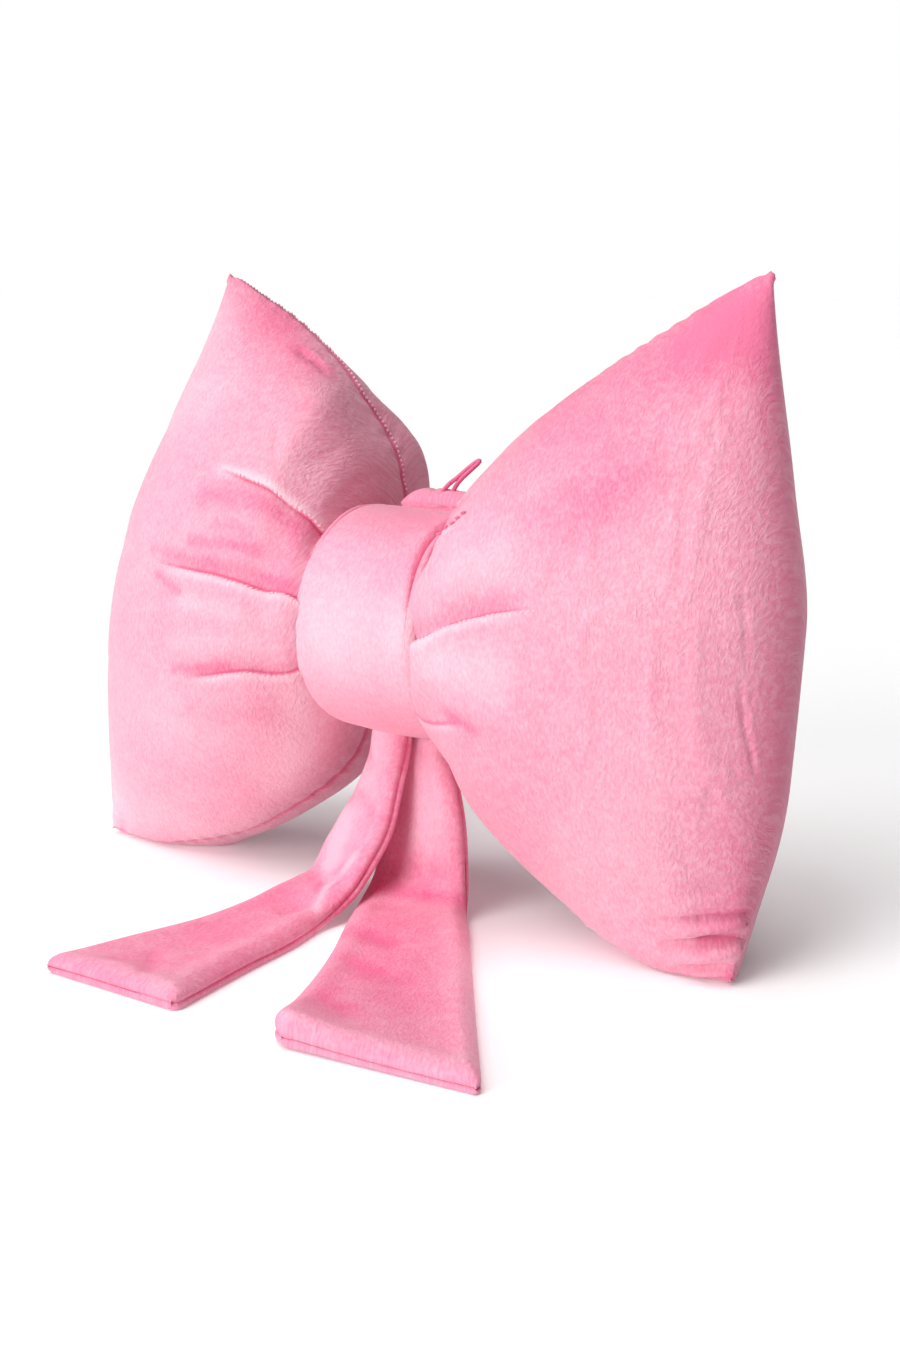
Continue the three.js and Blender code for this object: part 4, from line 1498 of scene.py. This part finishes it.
loop = make_loop()
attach(loop, "root")
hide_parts("hang_loop")
print(loop.name, len(loop.data.polygons), "faces")

# %% [markdown]
# ## Plush
#
# Short plush is soft and dense. Its hairs all lean one way, so it looks paler where they were
# brushed against the light and deeper where they were pressed. The pattern is one node group:
# fine strokes of the nap give the bump, wide soft patches shift the colour, and a point attribute
# makes the colour deeper or paler. It carries the brushed nap and the tone of the thread, and also
# painted light: painted shade in tucks, seams and dents and where the light falls away, and
# painted highlights on lips and lit edges. The sheen of the hair tips is set on the shader itself.

# %% Node group of the nap
NAP_SOCKETS = (
    ("Deep", "INPUT", "Color"),
    ("Pale", "INPUT", "Color"),
    ("Patches", "INPUT", "Float"),
    ("Color", "OUTPUT", "Color"),
    ("Height", "OUTPUT", "Float"),
    ("Roughness", "OUTPUT", "Float"),
)
SWAY = (0.10, 0.05, 0)
GRAIN = (64, 30, 1)
GRAIN_DISTORTION = 0.5
TONE_AND_SHADING_SHARE = 0.6
TUFT_SHARE = 0.35
# the colour sockets of a Mix node
MIX_A, MIX_B, MIX_RESULT = 6, 7, 2


def make_nap():
    group = bpy.data.node_groups.new("nap", "ShaderNodeTree")
    for title, way, kind in NAP_SOCKETS:
        group.interface.new_socket(title, in_out=way, socket_type="NodeSocket" + kind)
    add, link = group.nodes.new, group.links.new
    enter, leave = add("NodeGroupInput"), add("NodeGroupOutput")

    uv = add("ShaderNodeUVMap")
    uv.uv_map = "nap"
    place = add("ShaderNodeTexCoord")

    def noise(scale, detail, rough=0.5, vector=None):
        node = add("ShaderNodeTexNoise")
        node.inputs["Scale"].default_value = scale
        node.inputs["Detail"].default_value = detail
        node.inputs["Roughness"].default_value = rough
        if vector is not None:
            link(vector, node.inputs["Vector"])
        return node

    def ramp(value, low, high, out_low=0.0, out_high=1.0):
        node = add("ShaderNodeMapRange")
        node.interpolation_type = "SMOOTHSTEP"
        limits = {"From Min": low, "From Max": high, "To Min": out_low, "To Max": out_high}
        for key, number in limits.items():
            node.inputs[key].default_value = number
        link(value, node.inputs["Value"])
        return node.outputs["Result"]

    def maths(kind, a, b):
        node = add("ShaderNodeMath")
        node.operation = kind
        for k, value in enumerate((a, b)):
            if isinstance(value, (int, float)):
                node.inputs[k].default_value = value
            else:
                link(value, node.inputs[k])
        return node.outputs[0]

    sway = noise(26, 2, 0.5, place.outputs["Object"])
    swing = add("ShaderNodeVectorMath")
    swing.operation = "MULTIPLY_ADD"
    link(sway.outputs["Color"], swing.inputs[0])
    swing.inputs[1].default_value = SWAY
    link(uv.outputs["UV"], swing.inputs[2])
    grain = add("ShaderNodeMapping")
    grain.inputs["Scale"].default_value = GRAIN
    link(swing.outputs[0], grain.inputs["Vector"])
    strokes = noise(1.0, 4, 0.6, grain.outputs["Vector"])
    strokes.inputs["Distortion"].default_value = GRAIN_DISTORTION
    tufts = noise(420, 2, 0.5, place.outputs["Object"])
    patches = noise(13, 2, 0.5, place.outputs["Object"])
    blots = noise(95, 5, 0.7, place.outputs["Object"])

    # the point attribute of brushed nap, thread tone, and painted shade and highlights
    tone_and_shading = add("ShaderNodeAttribute")
    tone_and_shading.attribute_name = "tone_and_shading"

    wide = ramp(patches.outputs["Fac"], 0.30, 0.70, -0.5, 0.5)
    near = ramp(blots.outputs["Fac"], 0.35, 0.68, -0.5, 0.5)
    mixed = maths("ADD", maths("MULTIPLY", wide, 0.5), maths("MULTIPLY", near, 0.5))
    mixed = maths("MULTIPLY", mixed, enter.outputs["Patches"])
    fleck = ramp(strokes.outputs["Fac"], 0.36, 0.66, -0.12, 0.12)
    mixed = maths("ADD", mixed, fleck)
    mixed = maths("SUBTRACT", mixed, maths("MULTIPLY", tone_and_shading.outputs["Fac"], TONE_AND_SHADING_SHARE))
    mixed = maths("ADD", mixed, 0.5)
    share = add("ShaderNodeClamp")
    link(mixed, share.inputs["Value"])
    colour = add("ShaderNodeMix")
    colour.data_type = "RGBA"
    link(share.outputs[0], colour.inputs["Factor"])
    link(enter.outputs["Deep"], colour.inputs[MIX_A])
    link(enter.outputs["Pale"], colour.inputs[MIX_B])
    link(colour.outputs[MIX_RESULT], leave.inputs["Color"])

    ruffled = ramp(patches.outputs["Fac"], 0.35, 0.65, 0.5, 1.0)
    height = maths("ADD", maths("MULTIPLY", strokes.outputs["Fac"], ruffled),
                   maths("MULTIPLY", tufts.outputs["Fac"], TUFT_SHARE))
    link(height, leave.inputs["Height"])
    link(ramp(strokes.outputs["Fac"], 0.3, 0.7, 0.62, 0.86), leave.inputs["Roughness"])
    return group


NAP = make_nap()


# %% Plush materials
RELIEF_DISTANCE = 0.0016
BUMP = 0.7
SHEEN_ROUGHNESS = 0.45
SHEEN_TINT = (1.0, 0.86, 0.90, 1)
SPECULAR = 0.2


def plush(name, deep, pale, patches, sheen=0.44):
    material = bpy.data.materials.new(name)
    material.use_nodes = True
    nodes, link = material.node_tree.nodes, material.node_tree.links.new
    shader = nodes["Principled BSDF"]
    nap = nodes.new("ShaderNodeGroup")
    nap.node_tree = NAP
    nap.inputs["Deep"].default_value = (*deep, 1)
    nap.inputs["Pale"].default_value = (*pale, 1)
    nap.inputs["Patches"].default_value = patches
    relief = nodes.new("ShaderNodeBump")
    relief.inputs["Strength"].default_value = BUMP
    relief.inputs["Distance"].default_value = RELIEF_DISTANCE
    link(nap.outputs["Height"], relief.inputs["Height"])
    link(relief.outputs["Normal"], shader.inputs["Normal"])
    link(nap.outputs["Color"], shader.inputs["Base Color"])
    link(nap.outputs["Roughness"], shader.inputs["Roughness"])
    shader.inputs["Sheen Weight"].default_value = sheen
    shader.inputs["Sheen Roughness"].default_value = SHEEN_ROUGHNESS
    shader.inputs["Sheen Tint"].default_value = SHEEN_TINT
    shader.inputs["Specular IOR Level"].default_value = SPECULAR
    return material


WING_PLUSH = plush("wing_plush", (0.79, 0.17, 0.31), (0.92, 0.575, 0.66), 0.22)
KNOT_PLUSH = plush("knot_plush", (0.85, 0.24, 0.38), (0.92, 0.60, 0.685), 0.20)
TIE_PLUSH = plush("tie_plush", (0.82, 0.12, 0.28), (0.92, 0.48, 0.60), 0.35)
LOOP_CLOTH = plush("loop_cloth", (0.70, 0.10, 0.25), (0.84, 0.27, 0.44), 0.4, sheen=0.25)
wearing = (
    (WING_PLUSH, [*wings.values(), *stitches]),
    (TIE_PLUSH, ties.values()),
    (KNOT_PLUSH, (knot, lap)),
    (LOOP_CLOTH, [loop]),
)
for material, items in wearing:
    for item in items:
        item.data.materials.append(material)
    print(material.name, "on", [item.name for item in items])
